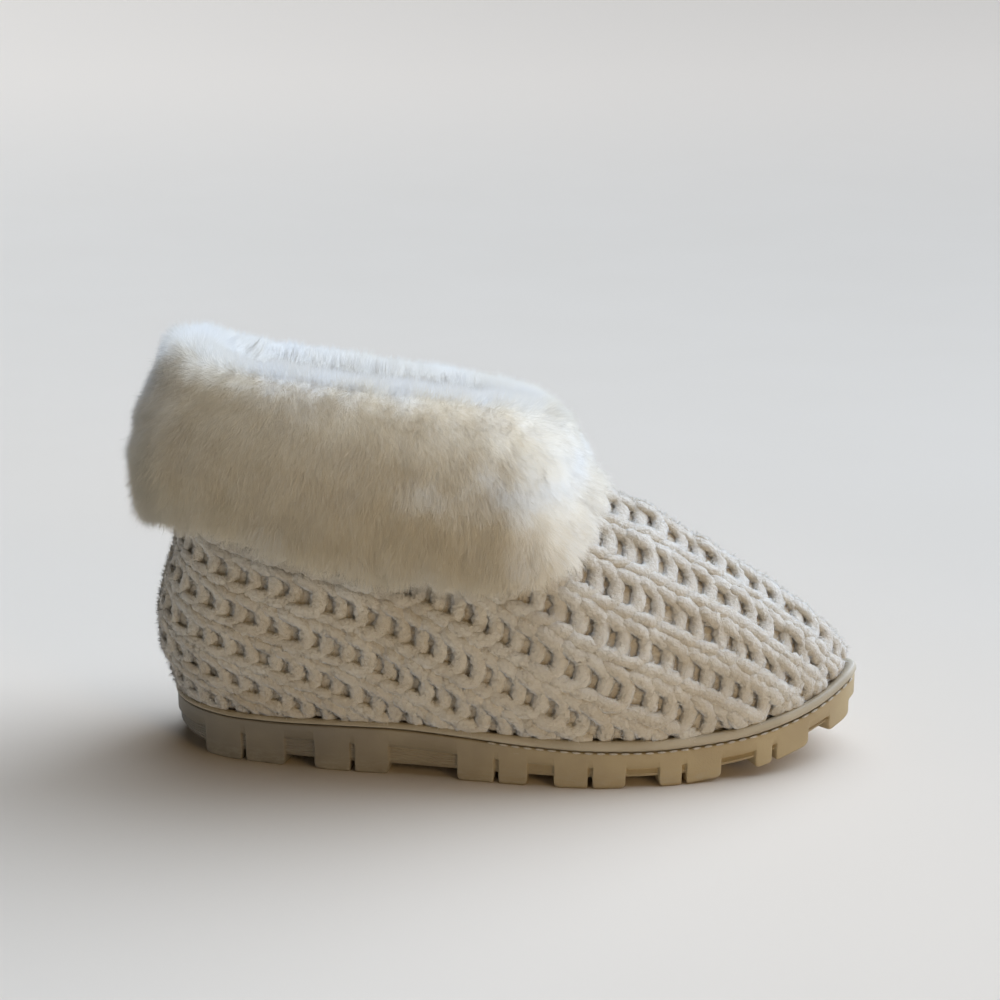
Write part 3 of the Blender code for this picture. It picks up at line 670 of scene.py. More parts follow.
def seam_paths():
    """Two strands that twist round each other over the back seam, like yarn_paths."""
    steps = 2 * YARN_STEPS - 2
    arcs = np.linspace(SEAM_FOOT, SEAM_TOP, SEAM_LENGTHS * steps + 1)
    across = (wall.starts[0] - arcs) / wall.spread[0]
    points, normals, _ = wall.at(np.zeros(len(arcs)), -across)
    points[:, 1], normals = 0.0, unit(normals * (1, 0, 1))
    lengths = []
    for phase in (0.0, math.pi):
        turn = (phase + arcs * 2 * math.pi / SEAM_TWIST)[:, None]
        strand = points + normals * (SEAM_PROUD + SEAM_WAVE * np.cos(turn))
        strand = strand + (0, SEAM_HALF_WIDTH, 0) * np.sin(turn)
        for start in np.arange(SEAM_LENGTHS) * steps:
            part = slice(start, start + steps + 1)
            lengths.append((strand[part], normals[part]))
    centres, normals = (np.array(part) for part in zip(*lengths))
    shape = centres.shape[:2]
    return centres, normals, np.full(shape, SEAM_RADIUS), np.zeros(shape), np.ones(shape, bool)


def yarn_paths():
    """Centre lines of all yarns: points, normals, radii, tones and which samples are real."""
    arm = np.array(ARM)
    knots = arc_lengths(arm[:, :3])
    half = hermite(knots, arm, np.linspace(0, knots[-1], YARN_STEPS))
    along, across, height, radius, drawn_in = np.concatenate([half, half[-2::-1]]).T
    across = np.where(np.arange(len(across)) < YARN_STEPS, across, WALE_PITCH - across)
    share = np.linspace(0, 1, len(along))
    first, last = courses.field.min() / COURSE_PITCH, courses.field.max() / COURSE_PITCH
    numbers = np.arange(int(first) - 1, int(last) + 2)
    lines = courses.lines[:-1, None, None]
    wobble = chance.normal(0, 1, (len(courses.lines) + 1, len(numbers), 4))
    here, there = wobble[:-2, :, None], wobble[1:-1, :, None]
    blend = smooth_step(share)[:, None]
    uneven = np.moveaxis(between(here, there, blend), -1, 0)
    lean = UNEVEN["lean"] * here[..., 3] + LOOP_LEAN
    lean = lean + np.where(lines >= 0, RUNG_SLANT, -RUNG_SLANT)
    along = along + numbers[:, None] * COURSE_PITCH
    along = along + lean * np.sin(share * math.pi) * (share - 0.5) + UNEVEN["along"] * uneven[0]
    across = np.broadcast_to(across + lines * WALE_PITCH, along.shape)
    height = height + UNEVEN["height"] * uneven[1]
    radius = radius * (1 + UNEVEN["radius"] * uneven[2])
    along, across, height, radius, tone = (
        part.reshape(-1, len(share)) for part in (along, across, height, radius, uneven[3])
    )
    station = courses.station(along.ravel(), across.ravel())
    points, normals, arcs = wall.at(station, across.ravel())
    points, normals = points.reshape(*along.shape, 3), normals.reshape(*along.shape, 3)
    arcs, station = arcs.reshape(along.shape), station.reshape(along.shape)
    spread = np.interp(station, np.arange(wall.count), wall.spread[: wall.count])
    radius = radius * (1 - drawn_in * (1 - spread))
    nearest = np.clip(station.round().astype(int), 0, wall.count - 1)
    limit = courses.section_lengths(nearest, across)
    x, _, z = np.moveaxis(points, -1, 0)
    real = (arcs > PAST_FOOT) & (arcs < limit + PAST_CREST)
    real &= (station > END_STATIONS[0]) & (station < wall.count - END_STATIONS[1])
    real &= (x >= COLLAR_END_X) | (z <= hem_height(x) + UNDER_CUFF)
    real &= (x > COLLAR_END_X) | (arcs < limit - UNDER_RIM)
    height = height - np.clip(SINK_NEAR_FOOT - arcs, 0, None) * SINK_SHARE
    kept = real.sum(axis=1) > LEAST_SAMPLES
    loops = (points + normals * height[..., None], normals, radius, tone, real)
    return [np.concatenate([part[kept], seam]) for part, seam in zip(loops, seam_paths())]


def build_yarn():
    """The knit's yarns, as flattened tubes with their short pile: lateral and medial half."""
    centres, normals, radius, tone, real = yarn_paths()
    forward = unit(np.gradient(centres, axis=1))
    side = unit(np.cross(forward, normals))
    lift = np.cross(side, forward)
    turn = np.arange(YARN_SIDES)[:, None] / YARN_SIDES * 2 * math.pi
    ring = side[:, :, None] * np.cos(turn) + lift[:, :, None] * (np.sin(turn) * YARN_FLATNESS)
    rough = 1 + YARN_ROUGHNESS * chance.normal(0, 1, (*radius.shape, YARN_SIDES))
    tubes = centres[:, :, None] + ring * (radius[..., None] * rough)[..., None]
    steps = centres.shape[1]
    cells = grid_faces(steps, YARN_SIDES, closed_columns=True)
    lateral = centres[:, YARN_STEPS - 1, 1] < TOE_TIP_Y / 2
    yarns, piles = [], []
    for name, chosen in (("lateral", lateral), ("medial", ~lateral)):
        alive = real[chosen][:, :-1] & real[chosen][:, 1:]
        offsets = np.arange(len(alive)) * steps * YARN_SIDES
        faces = (cells[None] + offsets[:, None, None])[alive.repeat(YARN_SIDES, axis=1)]
        tones = np.repeat(tone[chosen].ravel(), YARN_SIDES)
        yarns.append(make_piece(f"yarn_{name}", tubes[chosen].reshape(-1, 3), faces, tone=tones))
        spots = np.argwhere(alive)
        spots = spots[chance.integers(0, len(spots), FUZZ_HAIRS)]
        parts = (tubes[chosen], ring[chosen], forward[chosen])
        piles.append(build_fuzz(f"fuzz_{name}", *parts, spots))
    return yarns, piles


def build_fuzz(name, tubes, ring, forward, spots):
    """Short pile of the chenille yarn, with one thin triangle for each hair."""
    path, step = spots.T
    count = len(spots)
    here = chance.integers(0, YARN_SIDES, count)
    after = (here + 1) % YARN_SIDES
    share, turn = chance.random((2, count, 1))
    start, end = (
        between(tubes[path, step, side], tubes[path, step + 1, side], share)
        for side in (here, after)
    )
    out = unit(between(ring[path, step, here], ring[path, step, after], turn))
    roots = between(start, end, turn) - out * FUZZ_ROOT
    aim = out * FUZZ_OUT + forward[path, step] * FUZZ_ALONG
    aim = unit(aim + chance.normal(0, FUZZ_SCATTER, (count, 3)))
    flat = unit(unit(np.cross(aim, out)) + chance.normal(0, FUZZ_SCATTER, (count, 3)))
    flat *= FUZZ_WIDTH / 2
    tips = roots + aim * chance.uniform(*FUZZ_LENGTH, (count, 1))
    # Random tones, spread wide so that pale fibres are also painted glints.
    tones = np.repeat(chance.normal(*FUZZ_TONE_AND_PAINTED_GLINT, count), 3)
    return make_hairs(name, (roots - flat, roots + flat, tips), out, False, tone=tones)


def make_hairs(name, corners, normals, shades, **numbers):
    """Piece of hairs, with a triangle and a normal for each, that casts a shadow or none."""
    points = np.stack(corners, axis=1).reshape(-1, 3)
    faces = np.arange(len(points)).reshape(-1, 3)
    normals = np.repeat(normals, 3, axis=0)
    piece = make_piece(name, points, faces, normals=normals, **numbers)
    piece.visible_shadow = shades
    return piece


def wall_sheet(depth, foot_inset):
    """Columns of a sheet that lies at a depth under the wall's outer surface."""
    feet = []
    for side, x in wall.places:
        heights = (level("wall_top", x) + GAP, over_bead(x) - FOOT_TUCK)
        feet.append(on_rim(side, x, [(foot_inset, height) for height in heights]))
    return np.concatenate([np.array(feet), wall.ring - wall.normals * depth], axis=1)


def build_ground():
    """Ground fabric behind the yarns."""
    outer = wall_sheet(GROUND_DEPTH, FEATHER_INSET)
    inner = wall_sheet(GROUND_DEPTH + GROUND_THICKNESS, FEATHER_INSET + GROUND_FOOT_THICKNESS)
    return make_shell("knit_ground", outer, inner)


def build_lining():
    """Fleece that lines the wall."""
    inner = mesh_ring(
        wall.xs, lambda side, x: even_line(upper_section(side, x, WALL), wall.POINTS)
    )
    feet = wall_sheet(0.0, FEATHER_INSET + WALL)[:, :2]
    behind = np.concatenate([feet, inner + wall.normals * LINING_THICKNESS], axis=1)
    return make_shell("lining", behind, np.concatenate([feet, inner], axis=1))


# Cuff ---------------------------------------------------------------------------------------


class Cuff:
    """Outer face of the fur, from under the hem over the roll to the inner fold's foot.

    Its rows are numbered by place: 0 at the hem, 1 on top, 2 inside the collar, 3 at the foot.
    """

    def __init__(self):
        self.ring = mesh_ring(np.linspace(0, 1, CUFF_STATIONS // 2 + 1), self.section)
        self.normals = surface_normals(self.ring)
        self.down = unit(-np.gradient(self.ring, axis=1))
        self.around = np.cross(self.normals, self.down)

    def sizes(self, side, share):
        """Named sizes of the cuff's section at a share of the way from back to front."""
        rows = np.array(CUFF, float)
        across = np.array([name.endswith("_y") for name in CUFF_COLUMNS])
        mirror = np.where(across, -1.0, 1.0)
        padded = np.vstack([rows[1] * mirror, rows, rows[-2] * mirror])
        values = hermite(np.arange(-1, len(rows) + 1), padded, share * (len(rows) - 1))
        scale = side * (1.0 if side == LATERAL else CUFF_MEDIAL_SCALE)
        return dict(zip(CUFF_COLUMNS, np.where(across, values * scale, values)))

    def section(self, side, share):
        """Points of one section, at each place of the cuff."""
        size = self.sizes(side, share)
        hem, full, top = (
            np.array([size[f"{part}_{axis}"] for axis in "xyz"]) for part in ("hem", "full", "top")
        )
        if side == MEDIAL:
            top[2] -= MEDIAL_DROP * math.sin(math.pi * share)
        inside = np.array([size["inside_x"], size["inside_y"], top[2] - INSIDE_DROP])
        outward = unit((full - inside) * (1, 1, 0))
        shoulder = full + (top - full) * SHOULDER_SHARE + outward * SHOULDER_OUT
        shoulder = shoulder + UP * SHOULDER_UP
        roll = top + (inside - top) * ROLL_SHARE + UP * ROLL_LIFT
        foot = inside - UP * INNER_FOLD + outward * INNER_FOOT_OUT
        tuck = hem - outward * HEM_TUCK + UP * HEM_TUCK_UP
        guides = np.array([tuck, hem, full, shoulder, top, roll, inside, foot])
        knots = arc_lengths(guides)
        marks = knots[[0, 1, 4, 6, 7]]
        return hermite(knots, guides, np.interp(CUFF_PLACES, [-1, 0, 1, 2, 3], marks))


cuff = Cuff()


def build_cuff_sheet():
    """Folded sheet that the pile stands on."""
    outer, inner = (cuff.ring - cuff.normals * depth for depth in (PILE, PILE + CUFF_SHEET))
    return make_shell("cuff_sheet", outer, inner)


def read_fur(name, place):
    """A named size of the pile at each place."""
    rows = np.array(FUR)
    return np.interp(place, rows[:, 0], rows[:, FUR_COLUMNS.index(name)])


def soft_noise(points, size, waves=8):
    """Smooth noise of about unit height, from a few waves, over points in millimetres."""
    total = np.zeros(len(points))
    for _ in range(waves):
        wave = unit(chance.normal(0, 1, 3)) * 2 * math.pi / size * chance.uniform(0.6, 1.6)
        total += np.sin(points @ wave + chance.uniform(0, 2 * math.pi))
    return total / math.sqrt(waves / 2)


def fur_waves(name, points):
    """A named unevenness of the pile over points."""
    return sum(height * soft_noise(points, size) for height, size in FUR_WAVES[name])


def to_tuft(points, size):
    """Vector from each point to the middle of its tuft."""
    cell = np.floor(points / size).astype(int)
    table = chance.random((TUFT_TABLE, TUFT_TABLE, TUFT_TABLE, 3))
    spot = table[tuple((cell % TUFT_TABLE).T)]
    return (cell + spot) * size - points


def build_fur():
    """Pile of the cuff, in tapered hairs that are combed down outside and inside."""
    ring = cuff.ring
    after = np.roll(ring, -1, axis=0)
    areas = np.linalg.norm(
        np.cross(after[:, :-1] - ring[:, :-1], ring[:, 1:] - ring[:, :-1]), axis=2
    )
    density = read_fur("density", (CUFF_PLACES[1:] + CUFF_PLACES[:-1]) / 2)
    weights = (areas * density).ravel()
    picks = chance.choice(weights.size, FUR_HAIRS, p=weights / weights.sum())
    i, j = np.unravel_index(picks, areas.shape)
    a, b = chance.random((2, FUR_HAIRS, 1))

    def blend(values):
        after = np.roll(values, -1, axis=0)
        low, high = (between(values[i, row], after[i, row], a) for row in (j, j + 1))
        return between(low, high, b)

    skin, out, comb, across = blend(ring), blend(cuff.normals), blend(cuff.down), blend(cuff.around)
    out, comb = unit(out), unit(comb)
    place = between(CUFF_PLACES[j], CUFF_PLACES[j + 1], b[:, 0])
    stray = place + fur_waves("stray", skin)
    crease = np.exp(-((((stray + place) / 2 - CREASE_PLACE) / CREASE_WIDTH) ** 2))
    crease *= np.clip((skin[:, 0] - CREASE_FROM) / (CREASE_TO - CREASE_FROM), 0, 1)
    crease *= np.clip(CREASE_DEPTH + fur_waves("crease", skin), 0, 1)
    front = skin[:, 0] - FRONT_FROM + fur_waves("front", skin)
    front = np.clip(front / (FRONT_TO - FRONT_FROM), 0, 1)
    rise = read_fur("rise", place) + CREASE_RISE * crease
    drift, swell = fur_waves("drift", skin), fur_waves("swell", skin)
    length = read_fur("length", place) * chance.uniform(*FUR_LENGTHS, FUR_HAIRS)
    length = length * (1 + fur_waves("length", skin))
    ruffle = chance.normal(0, 1, (FUR_HAIRS, 3)) * read_fur("ruffle", place)[:, None]
    aim = unit(comb * read_fur("lay", place)[:, None] + across * drift[:, None] + ruffle)
    root = skin - out * PILE
    tuft = to_tuft(skin, FUR_TUFT)
    tuft -= out * np.sum(tuft * out, axis=1, keepdims=True)
    tip = root + length[:, None] * unit(out * (rise + swell)[:, None] + aim)
    tip = tip + tuft * read_fur("pull", place)[:, None]
    flat = unit(np.cross(tip - root, out)) + chance.normal(0, FUR_TWIST, (FUR_HAIRS, 3))
    flat = unit(flat) * FUR_WIDTH / 2 * chance.uniform(*FUR_WIDTHS, (FUR_HAIRS, 1))
    # Lifts the hairs' shading, and through the tone below also paints them: painted light on the
    # roll, crease, front and inside the collar, painted shade in the fold above the hem.
    lift_and_painted_light = read_fur("lift_and_painted_light", stray) + CREASE_LIFT_AND_PAINTED_LIGHT * crease
    lift_and_painted_light = lift_and_painted_light + FRONT_LIFT_AND_PAINTED_LIGHT * front * np.clip(place * FRONT_TURN, 0, 1)
    shade = unit(out + UP * lift_and_painted_light[:, None] + chance.normal(0, FUR_SOFTNESS, (FUR_HAIRS, 3)))
    tone = chance.normal(0, 1, FUR_HAIRS) + PAINTED_LIGHT_PER_LIFT * lift_and_painted_light
    shading = read_fur("shading", place) * (1 - FRONT_CLEAR * front)
    shading = chance.random(FUR_HAIRS) < shading
    groups = [np.flatnonzero(shading), *np.array_split(np.flatnonzero(~shading), FUR_PIECES)]
    pieces = []
    for number, chosen in enumerate(groups):
        corners = (part[chosen] for part in (root - flat, root + flat, tip))
        numbers = {
            "tone": np.repeat(tone[chosen], 3),
            "tip": np.tile([0.0, 0.0, 1.0], len(chosen)),
        }
        name, shades = f"fur_{number + 1}", number == 0
        pieces.append(make_hairs(name, tuple(corners), shade[chosen], shades, **numbers))
    return pieces


# Sole, welt and insole ----------------------------------------------------------------------


def build_bead():
    """Rounded welt bead between the sole's wall and the knit."""
    rows = np.array(WELT_OUTER)
    knots = arc_lengths(rows)
    inner = FEATHER_INSET - GAP
    outer = hermite(knots, rows, np.linspace(0, knots[-1], WELT_SAMPLES))
    profile = [(inner, 0.0), *outer, (inner, WELT_TOP_AT_UPPER)]

    def column(side, x):
        bottom, height = level("wall_top", x) + GAP, level("bead", x)
        return on_rim(side, x, [(inset, bottom + height * share) for inset, share in profile])

    return make_ring("bead", mesh_ring(even_stations(SOLE_PITCH), column))


def build_stitches():
    """Thread that shows as short stitches in the groove under the bead."""
    points, faces = [], []
    body, sides = len(STITCH_BODY), STITCH_SIDES
    for side in (LATERAL, MEDIAL):
        turns = -side * np.arange(sides)[:, None] / sides * 2 * math.pi
        xs = STITCHED[1] - (STITCHED[1] - STITCHED[0]) * np.linspace(1, 0, STITCH_PLACES) ** 2
        arcs = arc_lengths(np.array([rim(side, x)[0] for x in xs]))
        for start in np.arange(0.0, arcs[-1] - STITCH_LENGTH, STITCH_PITCH):
            places = start + STITCH_LENGTH * np.linspace(0, 1, body)
            faces.append(grid_faces(body, sides, closed_columns=True) + len(points) * sides)
            for x, radius in zip(np.interp(places, arcs, xs), STITCH_BODY):
                point, out = rim(side, x)
                height = level("wall_top", x) + GAP * STITCH_HEIGHT
                centre = point + out * STITCH_PROUD + UP * height
                points.append(centre + (out * np.cos(turns) + UP * np.sin(turns)) * radius)
    return make_piece("stitches", np.concatenate(points), np.concatenate(faces))


def build_insole():
    """Plush footbed, a little hollowed under heel and ball."""
    inset = FEATHER_INSET + WALL + GAP

    def column(side, x):
        bottom = level("wall_top", x) + GAP
        [edge] = on_rim(side, x, [(inset, 0.0)])
        middle = np.array([np.clip(x, inset, SOLE_LENGTH - inset), edge[1] * MIDDLE_SHARE, 0.0])
        dent = sum(depth * math.exp(-(((x - at) / reach) ** 2)) for depth, at, reach in DENTS)
        heights = [z - dent * min(1.0, t * 2) * (z > FOOTBED_SIDE) for t, z in FOOTBED]
        rows = [between(edge, middle, t) for t, _ in FOOTBED]
        return [row + UP * (bottom + z) for row, z in zip(rows, heights)]

    return make_ring("footbed", mesh_ring(even_stations(FOOTBED_PITCH), column))


def lug_spans():
    """Start and end of each lug, with the rounding of its two ends."""
    spans = []
    for start, slit, end in LUG_PAIRS:
        spans.append((start, slit - SLIT_WIDTH / 2, LUG_ROUND, SLIT_ROUND))
        spans.append((slit + SLIT_WIDTH / 2, end, SLIT_ROUND, LUG_ROUND))
    return spans + [(*TOE_LUG, LUG_ROUND, LUG_ROUND)]


def lug_depth(x):
    """Distance inside the nearest lug, negative outside, and the rounding at that end."""
    return max(min((x - start, first), (end - x, last)) for start, end, first, last in lug_spans())


def sole_stations():
    """Places of the sole's sections, close together around each lug's ends."""
    xs = set(even_stations(SOLE_PITCH))
    for start, end, _, _ in lug_spans():
        near = LUG_END_STEPS[LUG_END_STEPS < (end - start) / 2]
        xs |= {*(start + near), *(end - near)}
    kept = []
    for x in sorted(xs):
        if 0 <= x <= SOLE_LENGTH and (not kept or x - kept[-1] > LEAST_PITCH):
            kept.append(x)
    return kept


def lug_foot(depth, rounding, ground, base):
    """Height of the sole's foot, from the ground under a lug to the base between lugs."""
    if depth <= 0:
        return base
    fall = math.sqrt(rounding**2 - max(rounding - depth, 0.0) ** 2)
    return min(ground + rounding - fall, base)


def build_sole():
    """Sole with rounded lugs, ribbed recesses between them and treaded underside."""
    ribs = (1 - np.cos(np.arange(4 * RIBS + 1) * math.pi / 2)) / 2

    def column(side, x):
        depth, rounding = lug_depth(x)
        ground = max(level("ground", x), 0.0)
        base = ground + LUG_HEIGHT
        foot = lug_foot(depth, rounding, ground, base)
        off_lug = 1 - smooth_step(np.clip(0.5 + depth / LUG_CHAMFER, 0.0, 1.0))
        recess, rib = RECESS_DEPTH * off_lug, FINE_RIB * off_lug
        wall_top, recess_top = level("wall_top", x), level("recess_top", x)
        heights = np.linspace(recess_top - 0.7, foot + 1.3, len(ribs))
        from_end = min(x, SOLE_LENGTH - x) / LUG_TAPER
        reach = LUG_LENGTH_AT_ENDS + (LUG_LENGTH - LUG_LENGTH_AT_ENDS) * min(1.0, from_end)
        bar = reach + CHANNEL
        bar_foot = foot if x < BAR_END else base
        profile = [
            (0.7, wall_top), (0.18, wall_top - 0.12), (0.0, wall_top - 0.6),
            (0.0, recess_top + 0.7), (recess * 0.35, recess_top + 0.25),
            (recess, recess_top - 0.25),
            *((recess - rib * share, z) for share, z in zip(ribs, heights)),
            (recess + 0.1, foot + 0.65), (recess + 0.4, foot + 0.2), (recess + 0.9, foot),
            (reach - 0.3, foot), (reach + 0.3, foot + 0.3), (reach + 0.9, base),
            (bar - 0.9, base), (bar - 0.3, bar_foot + 0.3), (bar + 0.3, bar_foot),
        ]
        middle = np.array([np.clip(x, bar, SOLE_LENGTH - bar), 0.0, bar_foot])
        top_x = np.clip(x, SOLE_TOP_INSET, SOLE_LENGTH - SOLE_TOP_INSET)
        top = np.array([top_x, 0.0, wall_top - SOLE_TOP_DROP])
        return [top, *on_rim(side, x, profile), middle]

    return make_ring("sole", mesh_ring(sole_stations(), column), downward=True)


# Finishes -----------------------------------------------------------------------------------

YARN_DEEP, YARN_PALE = (0.6, 0.505, 0.37), (0.68, 0.585, 0.445)
YARN_LIGHT, YARN_SHADE = (0.75, 0.69, 0.58), (0.51, 0.42, 0.31)
# The ground cloth is a little darker than the yarn: painted shade in the knit's holes.
GROUND_DEEP, GROUND_PALE = (0.52, 0.44, 0.33), (0.62, 0.54, 0.42)
LINING_DEEP, LINING_PALE = (0.6, 0.53, 0.42), (0.78, 0.72, 0.6)
FOOTBED_DEEP, FOOTBED_PALE = (0.62, 0.55, 0.44), (0.8, 0.74, 0.62)
THREAD_DEEP, THREAD_PALE = (0.42, 0.36, 0.27), (0.66, 0.6, 0.5)
FROST = (0.95, 0.97, 1.0)
FUR_ROOT, FUR_TIP = (0.7, 0.58, 0.39), (0.82, 0.71, 0.51)
# Pale hairs at random, which also carry the pile's painted light.
FUR_PALE_AND_PAINTED_LIGHT, FUR_WARM = (0.87, 0.85, 0.8), (0.8, 0.65, 0.39)
FUR_GLOW = (0.88, 0.79, 0.6)
SOLE_DEEP, SOLE_PALE = (0.41, 0.305, 0.165), (0.48, 0.37, 0.205)
# Painted shade: the rubber's colours at the heel, darker than at the toe.
SOLE_PAINTED_SHADE_DEEP, SOLE_PAINTED_SHADE_PALE = (0.2, 0.178, 0.145), (0.245, 0.217, 0.173)
SOLE_DUST, SOLE_SCUFF = (0.44, 0.39, 0.29), (0.55, 0.5, 0.41)
BEAD_DEEP, BEAD_PALE = (0.43, 0.36, 0.25), (0.5, 0.425, 0.305)
FLOOR_DEEP, FLOOR_PALE = (0.695, 0.592, 0.47), (0.705, 0.602, 0.48)
FLOOR_BACK = (0.84, 0.695, 0.54)


class Value:
    """Output of a node. Arithmetic on it adds Math nodes."""

    def __init__(self, finish, node, output):
        self.finish, self.node = finish, node
        self.socket = node.outputs[output] if node.outputs else None

    def math(self, operation, *values):
        return self.finish.node("Math", {"operation": operation}, dict(enumerate(values)))

    def __add__(self, other):
        return self.math("ADD", self, other)

    def __sub__(self, other):
        return self.math("SUBTRACT", self, other)

    def __rsub__(self, other):
        return self.math("SUBTRACT", other, self)

    def __mul__(self, other):
        return self.math("MULTIPLY", self, other)

    __radd__, __rmul__ = __add__, __mul__

    def ramp(self, start, end, low=0.0, high=1.0):
        """Smooth step from low to high between two values."""
        ends = {"From Min": start, "From Max": end, "To Min": low, "To Max": high}
        settings = {"interpolation_type": "SMOOTHSTEP"}
        return self.finish.node("MapRange", settings, {"Value": self, **ends})


class Finish:
    """Material with one Principled surface and the nodes that feed it."""

    def __init__(self, name, roughness):
        self.material = bpy.data.materials.new(name)
        self.material.use_nodes = True
        self.tree = self.material.node_tree
        self.tree.nodes.clear()
        self.surface = self.node("BsdfPrincipled", {}, {"Roughness": roughness})
        self.output = self.node("OutputMaterial", {}, {"Surface": self.surface}).node

    def node(self, kind, settings=(), inputs=(), output=0):
        """Adds a node: its settings first, then the values or links of its inputs."""
        made = self.tree.nodes.new(f"ShaderNode{kind}")
        for key, value in dict(settings).items():
            setattr(made, key, value)
        self.feed(made, inputs)
        return Value(self, made, output)

    def feed(self, made, inputs):
        """Links a node's inputs to values of other nodes, or sets them to numbers."""
        for key, value in dict(inputs).items():
            socket = made.inputs[key]
            if isinstance(value, Value):
                self.tree.links.new(value.socket, socket)
            elif socket.type == "RGBA":
                socket.default_value = (*value, 1.0)
            else:
                socket.default_value = value

    def attribute(self, name):
        return self.node("Attribute", {"attribute_name": name}, output="Fac")

    def place(self):
        """Position on the shoe, in metres."""
        return self.node("TexCoord", output="Object")

    def place_along(self, axis):
        """Position on the shoe along one axis, numbered from 0, in metres."""
        return self.node("SeparateXYZ", {}, {0: self.place()}, output=axis)

    def noise(self, size, detail=2.0, roughness=0.5, stretch=None):
        """Noise from 0 to 1 with features of a size in millimetres."""
        place = self.place()
        if stretch:
            settings = {"operation": "MULTIPLY"}
            place = self.node("VectorMath", settings, {0: place, 1: stretch})
        scale = {"Scale": 1 / (size * MM), "Detail": detail, "Roughness": roughness}
        return self.node("TexNoise", {}, {"Vector": place, **scale})

    def mix(self, share, first, second):
        """Colour between two, by a share of the second."""
        settings = {"data_type": "RGBA"}
        return self.node("Mix", settings, {0: share, 6: first, 7: second}, output=2)

    def steady_normal(self):
        """Normal that is the same on both faces of a hair."""
        back = self.node("NewGeometry", output="Backfacing")
        normal = self.node("NewGeometry", output="Normal")
        return self.node("VectorMath", {"operation": "SCALE"}, {0: normal, "Scale": 1 - back * 2})

    def bump(self, height, depth, **inputs):
        """Relief from a height of 0 to 1, with its depth in millimetres."""
        return self.node("Bump", {}, {"Distance": depth * MM, "Height": height, **inputs})

    def let_through(self, share, colour, normal):
        """Lets a share of the light shine through, as thin pile does."""
        thin = self.node("BsdfTranslucent", {}, {"Color": colour, "Normal": normal})
        mixed = self.node("MixShader", {}, {0: share, 1: self.surface, 2: thin})
        self.feed(self.output, {"Surface": mixed})

    def set(self, **inputs):
        """Feeds the surface and hands over the material."""
        named = {key.replace("_", " "): value for key, value in inputs.items()}
        self.feed(self.surface.node, named)
        return self.material


def chenille(name, thin=0.0):
    """Cream chenille: its yarn, or its pile, which lets a share of the light through."""
    finish = Finish(name, roughness=0.82)
    tone = finish.attribute("tone")
    pale = finish.noise(16.0).ramp(0.3, 0.7)
    fine = finish.noise(1.3, detail=4.0, roughness=0.6)
    colour = finish.mix(pale, YARN_DEEP, YARN_PALE)
    # Paler yarns at random; on the pile, pale fibres are also painted glints.
    colour = finish.mix((tone * 0.12 + 0.5).ramp(0.2, 0.8), colour, YARN_LIGHT)
    colour = finish.mix(fine.ramp(0.35, 0.75, 0.0, 0.35), colour, YARN_SHADE)
    normal = finish.steady_normal()
    if thin:
        finish.let_through(thin, YARN_LIGHT, normal)
    return finish.set(
        Base_Color=colour, Normal=finish.bump(fine, 0.9, Normal=normal),
        Roughness=fine.ramp(0.3, 0.8, 0.9, 0.6),
        Sheen_Weight=0.8, Sheen_Roughness=0.5, Sheen_Tint=FROST,
    )


def plush(name):
    """Long plush pile: warm at the root, nearly white at the tip, with painted light and shade where
    its shading is lifted or lowered.
    """
    finish = Finish(name, roughness=0.75)
    tip, tone = finish.attribute("tip"), finish.attribute("tone")
    patch = finish.noise(24.0).ramp(0.3, 0.7)
    colour = finish.mix(tip.ramp(0.0, 1.0), FUR_ROOT, FUR_TIP)
    # Pale hairs at random, and painted light where the pile's shading is lifted.
    colour = finish.mix((tone * 0.1 + 0.3).ramp(0.0, 1.0), colour, FUR_PALE_AND_PAINTED_LIGHT)
    colour = finish.mix(patch * 0.3, colour, FUR_WARM)
    normal = finish.steady_normal()
    finish.let_through(0.25, FUR_GLOW, normal)
    return finish.set(
        Base_Color=colour, Normal=normal, Sheen_Weight=0.8, Sheen_Roughness=0.5, Sheen_Tint=FROST
    )


def cloth(name, deep, pale, grain, depth, sheen=0.0, roughness=0.95):
    """Cloth or thread in two tones, with relief of the same grain."""
    finish = Finish(name, roughness)
    weave = finish.noise(**grain)
    colour = finish.mix(weave.ramp(0.3, 0.7), deep, pale)
    return finish.set(Base_Color=colour, Normal=finish.bump(weave, depth), Sheen_Weight=sheen)


def fleece(name, deep, pale):
    """Short curly fleece."""
    curl = {"size": 2.2, "detail": 4.0, "roughness": 0.65}
    return cloth(name, deep, pale, curl, depth=1.2, sheen=0.4)


def moulded_sole():
    """Moulded tan rubber, painted darker towards the heel as shade, with grain, scuffs and dust low
    down.
    """
    finish = Finish("moulded sole", roughness=0.55)
    grain = finish.noise(0.5, detail=3.0)
    patch = finish.noise(22.0, detail=3.0)
    scuff = finish.noise(2.6, detail=4.0, roughness=0.7, stretch=(0.45, 1.0, 2.2))
    # Painted shade: the rubber darkens from the toe to the heel.
    toe = (finish.place_along(0) + patch * 0.04).ramp(-0.13, 0.13)
    deep = finish.mix(toe, SOLE_PAINTED_SHADE_DEEP, SOLE_DEEP)
    pale = finish.mix(toe, SOLE_PAINTED_SHADE_PALE, SOLE_PALE)
    colour = finish.mix(patch.ramp(0.3, 0.7), deep, pale)
    low = finish.place_along(2).ramp(0.0, 0.009, 1.0, 0.0)
    colour = finish.mix(low * scuff.ramp(0.4, 0.7) * 0.5, colour, SOLE_DUST)
    mark = scuff.ramp(0.66, 0.78)
    return finish.set(
        Base_Color=finish.mix(mark * 0.3, colour, SOLE_SCUFF),
        Roughness=patch.ramp(0.2, 0.8, 0.46, 0.62) + mark * 0.15,
        Normal=finish.bump(grain + scuff * 0.5, 0.12),
    )


